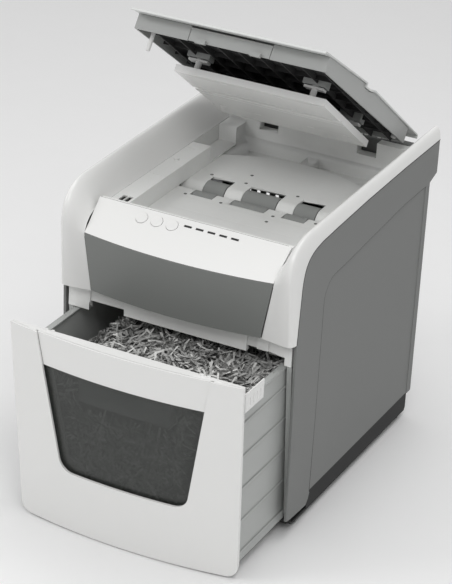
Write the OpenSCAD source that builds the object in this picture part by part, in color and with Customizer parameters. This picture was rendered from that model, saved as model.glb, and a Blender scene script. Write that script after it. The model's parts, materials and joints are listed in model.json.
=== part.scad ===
// Auto-feed paper shredder: pull-out bin, hinged lid with a sprung pressure plate, geared cutter head.
// Millimetres. X to the right, Y to the rear, Z up from the floor.
// Every Y is counted from the front foot of the side bands; the origin shift is at the end.

/* [Body] */
// Width over the two side bands
body_w = 324; // [310:1:380]
// Depth of the body from band foot to rear cover
body_d = 411; // [405:1:450]
// Height where the bands end and the bin front begins
band_foot_z = 277; // [270:1:300]
// Height of the seam between a side panel and its band, at the rear
seam_z = 401; // [398:1:420]
// How far a band's crown stands above that seam
crown_rise = 18; // [12:1:24]
// Wall of the moulded panels
wall = 3; // [2.4:0.2:4]
// Gap between two fixed covers
seam = 0.5; // [0.3:0.1:1]

/* [Front] */
// Half width of the front fascia at its top edge
fascia_half_top = 130; // [120:1:140]
// How much the fascia and window edges lean inwards per millimetre down
v_slope = 0.163; // [0.1:0.01:0.2]
// Plan radius of the fascia
fascia_r = 650; // [500:10:900]
// Plan radius of the bin front
bin_front_r = 820; // [600:10:1000]
// Height of the fascia's top edge
fascia_top_z = 354; // [350:1:358]
// Height of the control panel's rear edge
panel_rear_z = 387; // [380:1:392]

/* [Bin] */
// How far the bin is pulled out in the rest pose
bin_out = 122; // [100:1:140]
// Half width of the bin box, outside
bin_half = 146.5; // [120:0.5:147]
// Length of the bin box
bin_len = 318; // [280:1:330]
// Height of the bin box rim
bin_rim_z = 243; // [220:1:248]
// Wall of the bin box
bin_wall = 2.6; // [2:0.2:4]
// Ribs on each side of the bin box
bin_ribs = 5; // [3:1:7]
// Half width of the bin front at its top
bin_front_half = 157.9; // [150:0.1:158]
// Backward lean of the bin front in degrees
bin_lean = 5.6; // [3:0.1:6]

/* [Lid] */
// Angle at which the lid stands open in the rest pose
lid_open = 36; // [20:1:40]
// Hinge axis, distance from the front
hinge_y = 399; // [396:1:401]
// Hinge axis height
hinge_z = 405; // [404:0.5:406]
// Radius of the lid hinge pins
hinge_pin_r = 3; // [2:0.5:4]
// Running clearance of a pin or shaft in its bore, on the radius
running = 0.05; // [0.03:0.01:0.09]
// Half width of the lid
lid_half = 131; // [126:0.5:131.2]
// Length of the pressure plate
plate_len = 178; // [150:1:185]
// Half width of the pressure plate
plate_half = 103.5; // [95:0.5:104]
// Travel of the pressure plate
plate_travel = 10; // [6:1:11]

/* [Cutters and feed] */
// Outer radius of the cutter discs
cutter_r = 19; // [18.5:0.1:19.3]
// Pitch of the cutter discs
disc_pitch = 5; // [4:0.5:8]
// Thickness of a cutter disc
disc_t = 2; // [1.2:0.1:2.2]
// Half width between the cutter side plates
head_half = 114; // [110:1:115]
// Module of the cutter and feed gears
gear_m = 1.5; // [1.5:0.5:1.5]
// Radius of the rear feed rollers
rear_roller_r = 17; // [15:0.5:17]
// Radius of the front feed rollers
front_roller_r = 12; // [10:0.5:12]
// Key travel
key_travel = 0.8; // [0.5:0.1:1.5]

/* [Hidden] */
$fn = 48;
EPS = 0.01;

// ---- derived places ----
half_w = body_w / 2;
side_in = half_w - 3.8;             // inner face of a side panel
ear_gap = 2.6;                      // slot beside the bay wall, in which the bin's ears slide
bay_out = side_in - ear_gap;        // outer face of a bay wall
bay_in = bay_out - 6.6;             // inner face of the bay wall's front strip
bay_t = 3;                          // bay wall thickness
skirt_z = 39.5;                     // lower edge of the side panels
base_z = 8;                         // underside of the base tray
base_top = 27;                      // front edge height of the base tray
rail_z = base_z + 8.5;              // top of the rails that the bin runs on
step_y = body_d - 22;               // rear face below the overhang
step_z = seam_z - 46;               // underside of the rear overhang
crown_x = half_w - 7;
crown_z = seam_z + crown_rise;
inner_x = half_w - 29.5;            // inner edge of a band beside the lid
rail_top_z = 374.5;
bed_z = 350;
bed_t = 3;
slot_y = 203.5;                     // middle of the feed slot
head_z = 296;                       // cutter axes
cutter_gap = 18;                    // from the slot's middle to each cutter axis
rear_feed = [slot_y + 20, bed_z + 1 - rear_roller_r];
front_feed_z = bed_z + 0.5 - front_roller_r;
motor_axis = [slot_y + 92.5, 300];
front_y = -9;                       // front of the bin front's ends when it is shut
panel_front_y = -7;                 // front of the control panel's ends
panel_rear_y = 33;
lid_front_y = 27.5;                 // lid lip when shut
lid_rear_y = body_d;
lid_lip_z = 397;
lid_top_z = 408.5;
lid_step_y = 186;                   // the skin's step, across the lid
lid_wall_z = 376;                   // lower edge of the lid's walls when shut
plate_z = bed_z + 6.3;              // underside of the pressure plate when the lid is shut
plate_t = 9;
plate_front_y = 139;
post_x = 80;
post_y = [plate_front_y + 12, plate_front_y + plate_len - 22];
rest_front_y = front_y - bin_out;   // bin front's ends, at rest
bin_sagitta = bin_front_r - sqrt(pow(bin_front_r, 2) - pow(bin_front_half, 2));
inset_depth = 2.5;                  // how far the inset band sits behind the skin
origin_y = (rest_front_y - (bin_sagitta - inset_depth) / cos(bin_lean) + body_d) / 2;
lean_rate = tan(bin_lean);
skin = wall;                        // thickness of the bin's front skin
plate_gap = 0.4;
plate_back = skin + plate_gap + 2.6;  // rear face of the bin's inner panel

function v_half(z) = fascia_half_top - (fascia_top_z - z) * v_slope;
function arc(cx, cy, r, a0, a1, n) = [for (i = [0:n]) let (a = a0 + (a1 - a0) * i / n)
  [cx + r * cos(a), cy + r * sin(a)]];
function line(a, b, t) = a + (b - a) * t;
function bezier(a, b, c, d, t) = a * pow(1 - t, 3) + 3 * b * t * pow(1 - t, 2)
  + 3 * c * t * t * (1 - t) + d * pow(t, 3);

// ---- building blocks ----
module box(x, y, z) {
  translate([x[0], y[0], z[0]]) cube([x[1] - x[0], y[1] - y[0], z[1] - z[0]]);
}

// a Y-Z outline, drawn out along X
module side_prism(x, outline) {
  translate([x[0], 0, 0]) rotate([90, 0, 90]) linear_extrude(x[1] - x[0]) polygon(outline);
}

// an X-Z outline, drawn out along Y
module front_prism(y, outline) {
  translate([0, y[1], 0]) rotate([90, 0, 0]) linear_extrude(y[1] - y[0]) polygon(outline);
}

module rod_x(x, centre, r) {
  translate([x[0], centre[0], centre[1]]) rotate([0, 90, 0]) cylinder(r = r, h = x[1] - x[0]);
}

module pin_z(x, y, z, r) {
  translate([x, y, z[0]]) cylinder(r = r, h = z[1] - z[0]);
}

module both_sides() {
  children();
  mirror([1, 0, 0]) children();
}

module rounded_plate(w, h, r, t) {
  linear_extrude(t) union() {
    square([w - 2 * r, h], center = true);
    square([w, h - 2 * r], center = true);
    for (x = [-1, 1]) for (y = [-1, 1]) translate([x * (w / 2 - r), y * (h / 2 - r)]) circle(r = r);
  }
}

// ---- chassis ----
function side_outline(grow = 0) = concat(
  [[7, base_top], [5.5, 130], [0.3, band_foot_z], [5.2, 347]],
  [for (i = [1:8]) seam_path(i / 8)],
  [for (i = [1:9]) let (y = line(59, body_d, i / 9)) [y, seam_top(y)]],
  [[body_d, step_z], [step_y, step_z - 7], [step_y, skirt_z], [72, skirt_z],
   [68, 29.6], [62, 23], [20, base_top - 2]]);
function seam_path(t) = bezier([5, 347], [8, 380], [20, seam_z - 11], [59, seam_z - 7.4], t);
function seam_top(y) = lookup(y, [[59, seam_z - 7.4], [95, seam_z - 5.5], [181, seam_z - 2],
  [295, seam_z], [body_d, seam_z]]);
function recess_outline() = concat(
  [[step_y - 13, step_z - 8], [306, step_z - 8], [182, step_z - 17], [127, step_z - 21]],
  arc(102, 303, 30, 100, 180, 6),
  [[72, 230], [72, 143], [70, skirt_z - 1], [step_y - 13, skirt_z - 1]]);

module side_panel() {
  color("dimgray") difference() {
    side_prism([side_in, half_w], side_outline());
    side_prism([half_w - 1.4, half_w + 1], recess_outline());
  }
}
module side_panel_left() { mirror([1, 0, 0]) side_panel(); }
module side_panel_right() { side_panel(); }

module base_tray() {
  color("#1c1d1e") difference() {
    union() {
      side_prism([-side_in + 1, side_in - 1], concat(
        [[base_y, rail_z]], arc(base_y + 8, base_z + 8, 8, 180, 270, 5),
        [[step_y - 6, base_z], [step_y - 2, base_z + 4], [step_y - 2, 41], [step_y - 5, 41],
         [step_y - 5, base_z + 4], [base_y + 6, base_z + 4], [base_y + 3, base_z + 6],
         [base_y + 3, rail_z]]));
      both_sides() box([bay_out + 0.3, side_in - 0.4], [74, step_y - 6], [base_z + 1, 52]);
      both_sides() box([126, bay_out - bay_t - 0.4], [base_y + 1, base_y + 18], [base_z + 2, rail_z]);
      both_sides() box([bin_half + 2, bay_out - bay_t - 0.4], [base_y + 1, base_y + 14],
        [base_z + 2, base_top]);
      both_sides() box([118, 126], [base_y + 4, step_y - 8], [base_z, rail_z]);
    }
    for (y = [60, 120, 180, 240, 300]) box([-60, 60], [y, y + 6], [0, 30]);
  }
}

module rubber_feet() {
  color("#151515") for (x = [-1, 1]) for (y = [52, step_y - 18])
    translate([x * 146, y, 0]) rotate_extrude()
      polygon([[0, 0], [6, 0], [7.5, 1.5], [8, base_z], [0, base_z]]);
}

// front edge of the bay wall, just behind the shut bin front
function bay_front(z) = front_y + plate_back + 4 + (band_foot_z - z) * lean_rate;
base_y = ceil(bay_front(base_z));
module bay_wall() {
  low = base_top + 0.5;
  top = band_foot_z - 33;
  color("#b8bab8") union() {
    side_prism([bay_out - bay_t, bay_out],
      [[bay_front(low), low], [step_y - 6, low], [step_y - 6, 340],
        [60, 340], [60, top], [bay_front(top), top]]);
    side_prism([bay_in, bay_out - bay_t + EPS],
      [[bay_front(low), low], [bay_front(low) + 7, low], [bay_front(top) + 7, top - 0.4],
       [bay_front(top), top - 0.4]]);
  }
}
module bay_wall_left() { mirror([1, 0, 0]) bay_wall(); }
module bay_wall_right() { bay_wall(); }

// ---- side bands: a shell swept from the foot, round the shoulder, to the rear ----
stations_foot = 5;
stations_round = 16;
stations_top = 9;
across = 9;
band_wall = 3;
band_z0 = band_foot_z + 0.4;
function path(foot, a, b, c, d, rear, s) =
  s <= stations_foot ? line(foot, a, s / stations_foot)
  : s <= stations_foot + stations_round
    ? bezier(a, b, c, d, (s - stations_foot) / stations_round)
    : line(d, rear, (s - stations_foot - stations_round) / stations_top);
function seam_line(s) = let (p = path([0, band_z0 - 0.3], [5, 347], [8, 380],
  [20, seam_z - 11], [59, seam_z - 7.4], [body_d, seam_z], s))
  [p[0], (s > stations_foot + stations_round ? seam_top(p[0]) : p[1]) + 0.3];
function crown_line(s) = path([-11.5, band_z0], [-18, 362], [-20, crown_z - 24],
  [-3, crown_z - 8], [30, crown_z - 5], [body_d, crown_z], s);
function edge_line(s) = path([-7, band_z0], [-7.7, fascia_top_z - 2], [-2, 368],
  [12, rail_top_z + 2], [44, rail_top_z], [body_d, rail_top_z], s);
function edge_x(s) = let (p = edge_line(s))
  s <= stations_foot ? v_half(p[1]) : min(inner_x, v_half(fascia_top_z - 2) + (p[0] + 7.7) * 0.1);
// one point across the band: k = 0 at the seam, 1 at the inner edge
function band_point(s, k) = let (a = seam_line(s), c = crown_line(s), e = edge_line(s),
  f = k < 0.25 ? sin(k * 360) : cos((k - 0.25) * 120),
  rise = k < 0.25 ? f : pow(f, 1.3),
  yz = k < 0.25 ? line(a, c, rise) : line(e, c, rise),
  x = k < 0.25 ? line(half_w, crown_x, 1 - cos(k * 360)) : line(crown_x, edge_x(s), (k - 0.25) / 0.75))
  [x, yz[0], yz[1]];
function core_point(s) = let (c = crown_line(s), a = seam_line(s))
  [crown_x - 9, min(body_d, line(a, c, 0.1)[0] + (s <= stations_foot ? 12 : 4)),
   line(a, c, 0.1)[1] - (s <= stations_foot ? 0 : 8)];
function inward(p, q, d) = p + (q - p) * d / norm(q - p);
function band_ring(s) = concat(
  [for (i = [0:across]) band_point(s, i / across)],
  [for (i = [across:-1:1]) inward(band_point(s, i / across), core_point(s), band_wall)],
  [band_point(s, 0) - [half_w - side_in + 0.3, 0, 0]]);
module side_band() {
  last = stations_foot + stations_round + stations_top;
  n = 2 * (across + 1);
  points = [for (s = [0:last]) for (p = band_ring(s)) p];
  faces = concat(
    [for (s = [0:last - 1]) for (i = [0:n - 1]) let (j = (i + 1) % n)
      each [[s * n + i, s * n + j, (s + 1) * n + j], [s * n + i, (s + 1) * n + j, (s + 1) * n + i]]],
    [for (i = [0:across - 1]) each [[i, n - 1 - i, i + 1], [i + 1, n - 1 - i, n - 2 - i]]],
    [for (i = [0:across - 1]) let (o = last * n)
      each [[o + i, o + i + 1, o + n - 1 - i], [o + i + 1, o + n - 2 - i, o + n - 1 - i]]]);
  polyhedron(points, faces, convexity = 6);
}
module side_band_left() { color("white") mirror([1, 0, 0]) side_band(); }
module side_band_right() { color("white") side_band(); }

// ---- rear ----
inlet_x = -100;
rocker_x = -56;
power_z = 76;
module rear_cover() {
  color("dimgray") difference() {
    side_prism([-side_in + seam, side_in - seam],
      [[step_y - 3, 42.5], [step_y, 42.5], [step_y, step_z - 8], [body_d - 3, step_z - 1],
       [body_d, step_z + 2], [body_d, hinge_z - 18], [body_d - 2, hinge_z - 16],
       [hinge_y - 2, hinge_z - 16], [hinge_y - 2, hinge_z - 19], [body_d - 3, hinge_z - 19],
       [body_d - 3, step_z + 3], [step_y - 2, step_z - 4], [step_y - 3, step_z - 6]]);
    for (row = [0:1]) for (i = [-8:8])
      box([i * 14 - 3, i * 14 + 3], [step_y - 4, step_y + 1], [210 + row * 52, 250 + row * 52]);
    box([inlet_x - 15, inlet_x + 15], [step_y - 4, step_y + 1], [power_z - 11, power_z + 11]);
    box([rocker_x - 11, rocker_x + 11], [step_y - 4, step_y + 1], [power_z - 8, power_z + 8]);
    both_sides() front_prism([hinge_y - 3, body_d + 1], [[inner_x - 0.6, rail_top_z - 1],
      [inner_x + 4.5, rail_top_z - 1], [inner_x + 13, hinge_z - 15], [inner_x - 0.6, hinge_z - 15]]);
    for (x = [-1, 1]) for (z = [56, 330]) translate([x * (side_in - 12), step_y - 4, z])
      rotate([-90, 0, 0]) cylinder(r = 2.2, h = 6);
  }
}

module mains_inlet() {
  color("#202020") difference() {
    union() {
      box([inlet_x - 14.8, inlet_x + 14.8], [step_y - 24, step_y], [power_z - 10.8, power_z + 10.8]);
      box([inlet_x - 18, inlet_x + 18], [step_y, step_y + 1.6], [power_z - 14, power_z + 14]);
    }
    box([inlet_x - 12, inlet_x + 12], [step_y - 20, step_y + 2], [power_z - 8, power_z + 8]);
  }
  color("silver") for (x = [-7, 0, 7])
    box([inlet_x + x - 1, inlet_x + x + 1], [step_y - 20, step_y - 4],
        [power_z - (x == 0 ? 1 : -1) * 2 - 2, power_z - (x == 0 ? 1 : -1) * 2 + 2]);
}

rocker_pivot = [step_y - 4, power_z];
module rocker_switch() {
  color("#111111") union() {
    side_prism([rocker_x - 10, rocker_x + 10],
      [[step_y + 3.5, power_z + 6.6], [step_y + 0.8, power_z], [step_y + 1.2, power_z - 6.8],
       [step_y - 8, power_z - 5.5], [step_y - 8, power_z + 5.5]]);
    rod_x([rocker_x - 10.7, rocker_x + 10.7], rocker_pivot, 2);
  }
}

// ---- front ----
fascia_front = panel_front_y + 0.5 - (fascia_half_top * fascia_half_top) / (2 * fascia_r);
function panel_front(x) = panel_front_y - 0.7
  - (pow(fascia_half_top, 2) - pow(x, 2)) / (2 * fascia_r);
panel_z0 = fascia_top_z + 0.4;
module front_fascia() {
  low = band_foot_z + 2;
  high = fascia_top_z - 0.2;
  color("gray") intersection() {
    translate([0, fascia_front, low]) rotate([1.4, 0, 0]) translate([0, fascia_r, -10]) difference() {
      cylinder(r = fascia_r, h = 120, $fn = 200);
      translate([0, 0, -1]) cylinder(r = fascia_r - wall, h = 122, $fn = 200);
    }
    front_prism([-60, 60], [[-v_half(low) + seam, low], [v_half(low) - seam, low],
      [v_half(high) - seam, high], [-v_half(high) + seam, high]]);
  }
}

function slope_z(x, y) = line(panel_z0, panel_rear_z,
  (y - panel_front(x)) / (panel_rear_y - panel_front(x)));
slope = atan((slope_z(-45, 30) - slope_z(-45, 10)) / 20);
module on_slope(x, y) {
  translate([x, y, slope_z(x, y)]) rotate([slope, 0, 0]) children();
}

// a shell from rings that hold as many outer points as inner ones, inner ones in reverse
module strip_shell(rings) {
  n = len(rings[0]);
  last = len(rings) - 1;
  half = n / 2;
  points = [for (r = rings) for (p = r) p];
  faces = concat(
    [for (s = [0:last - 1]) for (i = [0:n - 1]) let (j = (i + 1) % n)
      each [[s * n + i, s * n + j, (s + 1) * n + j], [s * n + i, (s + 1) * n + j, (s + 1) * n + i]]],
    [for (i = [0:half - 2]) each [[i, n - 1 - i, i + 1], [i + 1, n - 1 - i, n - 2 - i]]],
    [for (i = [0:half - 2]) let (o = last * n)
      each [[o + i, o + i + 1, o + n - 1 - i], [o + i + 1, o + n - 2 - i, o + n - 1 - i]]]);
  polyhedron(points, faces, convexity = 6);
}

key_x = [-66, -45, -24];
key_y = 21;
key_r = 7.6;
lens_x = [-4, 12, 28, 44, 60];
lens_y = 24.5;
panel_half = fascia_half_top - 0.6;
panel_flare = (inner_x - 0.7) / panel_half - 1;
function panel_ring(x) = let (f = panel_front(x), n = 6) concat(
  [for (i = [0:n]) panel_point(x, f, i / n, 0)],
  [for (i = [n:-1:1]) panel_point(x, f, i / n, 3.4)],
  [[x, f + 3.4, panel_z0]]);
function panel_point(x, f, t, down) =
  [x * (1 + panel_flare * t), line(f, panel_rear_y, t), line(panel_z0, panel_rear_z, t) - down];
module control_panel() {
  color("white") difference() {
    strip_shell([for (i = [24:-1:0]) panel_ring(line(-panel_half, panel_half, i / 24))]);
    for (x = key_x) on_slope(x, key_y) translate([0, 0, -8]) cylinder(r = key_r + 0.4, h = 16);
    for (x = lens_x) on_slope(x, lens_y) translate([-5.2, -1.5, -8]) cube([10.4, 3, 16]);
  }
}

module push_key(x) {
  color("whitesmoke") on_slope(x, key_y) translate([0, 0, -6.5]) cylinder(r = key_r, h = 7.2);
}
module power_key() { push_key(key_x[0]); }
module reverse_key() { push_key(key_x[1]); }
module forward_key() { push_key(key_x[2]); }

module status_lenses() {
  color("black") for (x = lens_x) on_slope(x, lens_y) translate([-5, -1.3, -5]) cube([10, 2.6, 5.3]);
}

module control_board() {
  color("seagreen") on_slope(0, 20) translate([-85, -12, -11.6]) cube([170, 21, 1.6]);
  color("black") for (x = key_x) on_slope(x, key_y) translate([-3, -3, -10]) cube([6, 6, 2.2]);
}

beam_z = band_foot_z - 26;
floor_z = band_foot_z - 11;
module head_beam() {
  color("white") difference() {
    union() {
      box([-75, 95], [1, 8], [beam_z, band_foot_z + 1.5]);
      box([-124, 124], [4, 8], [beam_z + 7, band_foot_z + 1.5]);
      box([109, 124], [1, 8], [beam_z + 7, band_foot_z + 1.5]);
      both_sides() box([124, bay_out - 0.3], [3, 12], [beam_z + 4, band_foot_z - 0.5]);
      box([146, bay_out - 0.3], [3, 12], [beam_z - 6.5, band_foot_z - 1]);
      box([-bay_out + 0.3, -126], [3, 12], [beam_z - 6.5, band_foot_z - 1]);
      box([-bay_out + bay_t + 0.3, bay_out - bay_t - 0.3], [8, step_y - 8], [floor_z, floor_z + 3]);
    }
    box([-142, 142], [148, 262], [floor_z - 1, floor_z + 4]);
  }
}

// ---- paper tray ----
lip_r = front_roller_r - 0.5;
crest_r = rear_roller_r - 1;
feed_teeth = 24;
front_feed_y = rear_feed[0] - sqrt(pow(gear_m * feed_teeth, 2) - pow(rear_feed[1] - front_feed_z, 2));
front_axis = [front_feed_y, front_feed_z];
guide_half = head_half - 2;
roller_spans = [[-80, -50], [-24, 24], [50, 80]];
deck_arc_r = 200;
deck_arc_y = 143;
sensor_spots = [[-86, 246], [-36, 246], [38.5, 246], [-41, 273], [-86, 173], [-35, 173],
  [39, 173], [94, 183], [39.5, 154]];
module paper_tray() {
  color("white") difference() {
    union() {
      side_prism([-inner_x + 0.5, inner_x - 0.5],
        [[panel_rear_y + 1, panel_rear_z - 2], [panel_rear_y + 8, panel_rear_z - 2],
         [panel_rear_y + 8, bed_z], [front_axis[0], bed_z], [front_axis[0], bed_z - bed_t],
         [panel_rear_y + 4, bed_z - bed_t], [panel_rear_y + 4, panel_rear_z - 22],
         [panel_rear_y + 1, panel_rear_z - 22]]);
      side_prism([-guide_half, guide_half], concat(
        arc(front_axis[0], front_axis[1], lip_r, 90, 0, 8), [[front_axis[0] + lip_r, 322],
        [front_axis[0] + lip_r - 2, 322]], arc(front_axis[0], front_axis[1], lip_r - 2.5, 0, 90, 8)));
      side_prism([-guide_half, guide_half], concat(
        arc(rear_feed[0], rear_feed[1], crest_r, 90, 180, 8), [[rear_feed[0] - crest_r, 322],
        [rear_feed[0] - crest_r + 2, 322]], arc(rear_feed[0], rear_feed[1], crest_r - 2.5, 180, 90, 8)));
      both_sides() box([guide_half, inner_x - 0.5], [front_axis[0] - 1, rear_feed[0] + 1],
        [bed_z - bed_t, bed_z]);
      translate([0, 0, bed_z - bed_t]) linear_extrude(bed_t) intersection() {
        translate([-inner_x + 0.5, rear_feed[0]]) square([2 * inner_x - 1, 140]);
        translate([0, deck_arc_y]) circle(r = deck_arc_r, $fn = 120);
      }
    }
    for (s = roller_spans) {
      box([s[0] - 1, s[1] + 1], [front_axis[0] - front_roller_r - 1, front_axis[0] + front_roller_r + 1],
        [front_axis[1] - front_roller_r - 1, bed_z + 1]);
      box([s[0] - 1, s[1] + 1], [rear_feed[0] - rear_roller_r - 1, rear_feed[0] + rear_roller_r + 1],
        [rear_feed[1] - rear_roller_r - 1, bed_z + 1]);
    }
    for (p = sensor_spots) pin_z(p[0], p[1], [bed_z - bed_t - 1, bed_z + 1], 2.2);
    box([-89, 89], [130.7, 131.3], [bed_z - 0.5, bed_z + 1]);
    box([-109, 109], [165.8, 166.2], [bed_z - 0.3, bed_z + 1]);
  }
}

module paper_sensors() {
  color("#303030") for (p = sensor_spots) pin_z(p[0], p[1], [bed_z - bed_t, bed_z + 0.2], 2.2);
}

deck_z = bed_z + 5;
arm_x = 72;
arm_w = 14;
bracket_slot = [arm_x - 14, arm_x + 14];
module rear_deck() {
  low = bed_z - 19;
  back = hinge_y - 3;
  color("white") difference() {
    union() {
      box([-inner_x + 0.5, inner_x - 0.5], [325, back - 19], [low, bed_z - bed_t - 0.1]);
      box([-inner_x + 0.5, inner_x - 0.5], [back - 19, step_y - 3.4], [low, deck_z]);
      box([-inner_x + 0.5, inner_x - 0.5], [back - 15, back], [deck_z, hinge_z - 17]);
      box([-inner_x + 0.5, -106], [352, back - 15], [bed_z - bed_t - 0.1, rail_top_z - 0.1]);
      box([100, inner_x - 0.5], [346, back - 15], [bed_z - bed_t - 0.1, deck_z]);
    }
    difference() {
      for (x = [[-98, -10], [7, 98]]) box(x, [320, back - 19], [low + 4, bed_z + 6]);
      translate([0, deck_arc_y, 0]) cylinder(r = deck_arc_r + 0.5, h = bed_z, $fn = 120);
    }
    both_sides() box(bracket_slot, [back - 20, back + 1], [deck_z + 12, hinge_z]);
  }
}

rail_x = [-inner_x, -105.5];
plunger_at = [-122.5, 214];
pin_at = [-112.2, 70];               // the lid's interlock pin
module paper_rail() {
  front = panel_rear_y + 17;
  rear = 278;
  color("white") difference() {
    union() {
      difference() {
        box(rail_x, [front, rear], [bed_z, rail_top_z]);
        box([rail_x[0] + 2.5, rail_x[1] - 2.5], [front + 2.5, rear - 2.5], [bed_z - 1, rail_top_z - 2.5]);
      }
      box([rail_x[0] + 2.5, rail_x[1] - 2.5], [155, 157.5], [bed_z, rail_top_z - 2]);
      box(rail_x, [rear - 1, 351.5], [bed_z, bed_z + 2.5]);
    }
    for (x = [-123, -115.4]) box([x, x + 6.4], [pin_at[1] - 8, pin_at[1] + 8],
      [rail_top_z - 4, rail_top_z + 1]);
    for (y = [156.6, 258]) box([rail_x[0] - 1, rail_x[1] + 1], [y, y + 0.4],
      [rail_top_z - 0.6, rail_top_z + 1]);
    pin_z(plunger_at[0], plunger_at[1], [rail_top_z - 5, rail_top_z + 1], 3.9);
  }
}

module rail_plunger() {
  color("whitesmoke") union() {
    pin_z(plunger_at[0], plunger_at[1], [rail_top_z - 10, rail_top_z + 1.6], 3.5);
    pin_z(plunger_at[0], plunger_at[1], [rail_top_z - 10, rail_top_z - 5], 5);
  }
}

module interlock_switch() {
  color("black") box([-124, -108.5], [58, 82], [bed_z + 0.1, bed_z + 5]);
}

// ---- gears ----
pressure_lean = 0.36;
function gear_outline(teeth, m, back = 0.19) = let (r = teeth * m / 2, p = 360 / teeth,
    w = 90 / teeth - back * 57 / r, deg = 57.3 / r)
  [for (k = [0:teeth - 1]) each [for (q = [[-1, -1.25], [-1, 1], [1, 1], [1, -1.25]])
    let (rr = r + q[1] * m, a = k * p + q[0] * (w - pressure_lean * q[1] * m * deg))
      [rr * cos(a), rr * sin(a)]]];
module gear(x, centre, teeth, m, turn = 0, bore = 0) {
  translate([x[0], centre[0], centre[1]]) rotate([90, 0, 90]) rotate(turn) difference() {
    linear_extrude(x[1] - x[0]) polygon(gear_outline(teeth, m));
    if (bore > 0) translate([0, 0, -1]) cylinder(r = bore, h = x[1] - x[0] + 2);
  }
}
// turn of a gear b that meshes with gear a, whose turn is ta
function mesh_turn(a, b, na, nb, ta) = let (dir = atan2(b[1] - a[1], b[0] - a[0]))
  dir + 180 + (dir - ta) * na / nb + 180 / nb;
// third corner of a triangle on a and b, at distances ra and rb, on the side given
function corner(a, b, ra, rb, side) = let (c = norm(b - a), u = (b - a) / c,
    x = (ra * ra - rb * rb + c * c) / (2 * c), h = sqrt(ra * ra - x * x))
  a + x * u + side * h * [-u[1], u[0]];

front_axle = [slot_y - cutter_gap, head_z];
rear_axle = [slot_y + cutter_gap, head_z];
sync_teeth = cutter_gap * 2 / gear_m;
pinion_teeth = 14;
idler_teeth = 10;
drive_teeth = 40;
small_teeth = 14;
big_teeth = 60;
motor_teeth = 12;
motor_m = 1;
idler_axis = corner(rear_axle, rear_feed, gear_m * (pinion_teeth + idler_teeth) / 2,
  gear_m * (idler_teeth + feed_teeth) / 2, -1);
transfer_axis = corner(rear_axle, motor_axis, gear_m * (drive_teeth + small_teeth) / 2,
  motor_m * (big_teeth + motor_teeth) / 2, 1);
sync_x = [-head_half - 13, -head_half - 6];
feed_x = [-inner_x - 7, -inner_x - 2];
drive_x = [head_half + 7, head_half + 14];
big_x = [head_half + 15.5, head_half + 20.5];
idler_turn = mesh_turn(rear_axle, idler_axis, pinion_teeth, idler_teeth, 0);
feed_turn = mesh_turn(idler_axis, rear_feed, idler_teeth, feed_teeth, idler_turn);
front_feed_turn = mesh_turn(rear_feed, front_axis, feed_teeth, feed_teeth, feed_turn);
small_turn = mesh_turn(rear_axle, transfer_axis, drive_teeth, small_teeth, 0);
motor_turn = mesh_turn(transfer_axis, motor_axis, big_teeth, motor_teeth, small_turn);

// ---- cutter head ----
shaft_r = 6;
feed_shaft_r = 3;
disc_core = cutter_r - 4;
disc_count = floor((guide_half - 3) * 2 / disc_pitch);
function disc_profile(shift) = let (x0 = -disc_count * disc_pitch / 2 + shift) concat(
  [[0, x0 - 1], [disc_core, x0 - 1]],
  [for (i = [0:disc_count - 1]) let (x = x0 + i * disc_pitch + disc_pitch / 2)
    each [[disc_core, x - disc_t / 2], [cutter_r, x - disc_t / 2], [cutter_r, x + disc_t / 2],
          [disc_core, x + disc_t / 2]]],
  [[disc_core, -x0 + 2 * shift + 1], [0, -x0 + 2 * shift + 1]]);
module cutter(axle, shift, ends, first) {
  translate([0, axle[0], axle[1]]) rotate([0, 90, 0]) difference() {
    union() {
      rotate_extrude($fn = 60) polygon(disc_profile(shift));
      translate([0, 0, ends[0]]) cylinder(r = shaft_r, h = ends[1] - ends[0]);
    }
    for (i = [0:2]) rotate(first + i * 120) translate([cutter_r - 2.4, -1.6, -guide_half - 2])
      cube([4, 3.2, 2 * guide_half + 4]);
  }
}
module front_cutter() { color("silver") cutter(front_axle, 0, [sync_x[0] - 2, head_half + 4], 20); }
module rear_cutter() {
  color("silver") cutter(rear_axle, disc_pitch / 2, [feed_x[0] - 1, drive_x[1] + 0.5], 50);
}
module front_cutter_gear() {
  color("gray") gear(sync_x, front_axle, sync_teeth, gear_m, 180 / sync_teeth, shaft_r);
}
module rear_cutter_gears() {
  color("gray") gear(sync_x, rear_axle, sync_teeth, gear_m, 0, shaft_r);
  color("gray") gear(feed_x, rear_axle, pinion_teeth, gear_m, 0, shaft_r);
  color("gray") gear(drive_x, rear_axle, drive_teeth, gear_m, 0, shaft_r);
}
module idler_gear() {
  color("ivory") gear(feed_x, idler_axis, idler_teeth, gear_m, idler_turn, 2.5 + running);
}
module transfer_gear() {
  color("ivory") difference() {
    union() {
      gear([drive_x[0], big_x[0] + EPS], transfer_axis, small_teeth, gear_m, small_turn);
      gear(big_x, transfer_axis, big_teeth, motor_m, small_turn);
    }
    rod_x([drive_x[0] - 1, big_x[1] + 1], transfer_axis, 3 + running);
  }
}
module gear_axles() {
  color("silver") rod_x([-bay_out + bay_t, feed_x[1] + 1], idler_axis, 2.5);
  color("silver") rod_x([head_half + wall, big_x[1] + 2], transfer_axis, 3);
}
module feed_roller(axis, r, turn) {
  union() {
    rod_x([feed_x[0] - 1, head_half + 5], axis, feed_shaft_r);
    for (s = roller_spans) rod_x(s, axis, r);
    gear(feed_x, axis, feed_teeth, gear_m, turn);
  }
}
module front_feed_roller() { color("gray") feed_roller(front_axis, front_roller_r, front_feed_turn); }
module rear_feed_roller() { color("gray") feed_roller(rear_feed, rear_roller_r, feed_turn); }

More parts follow.
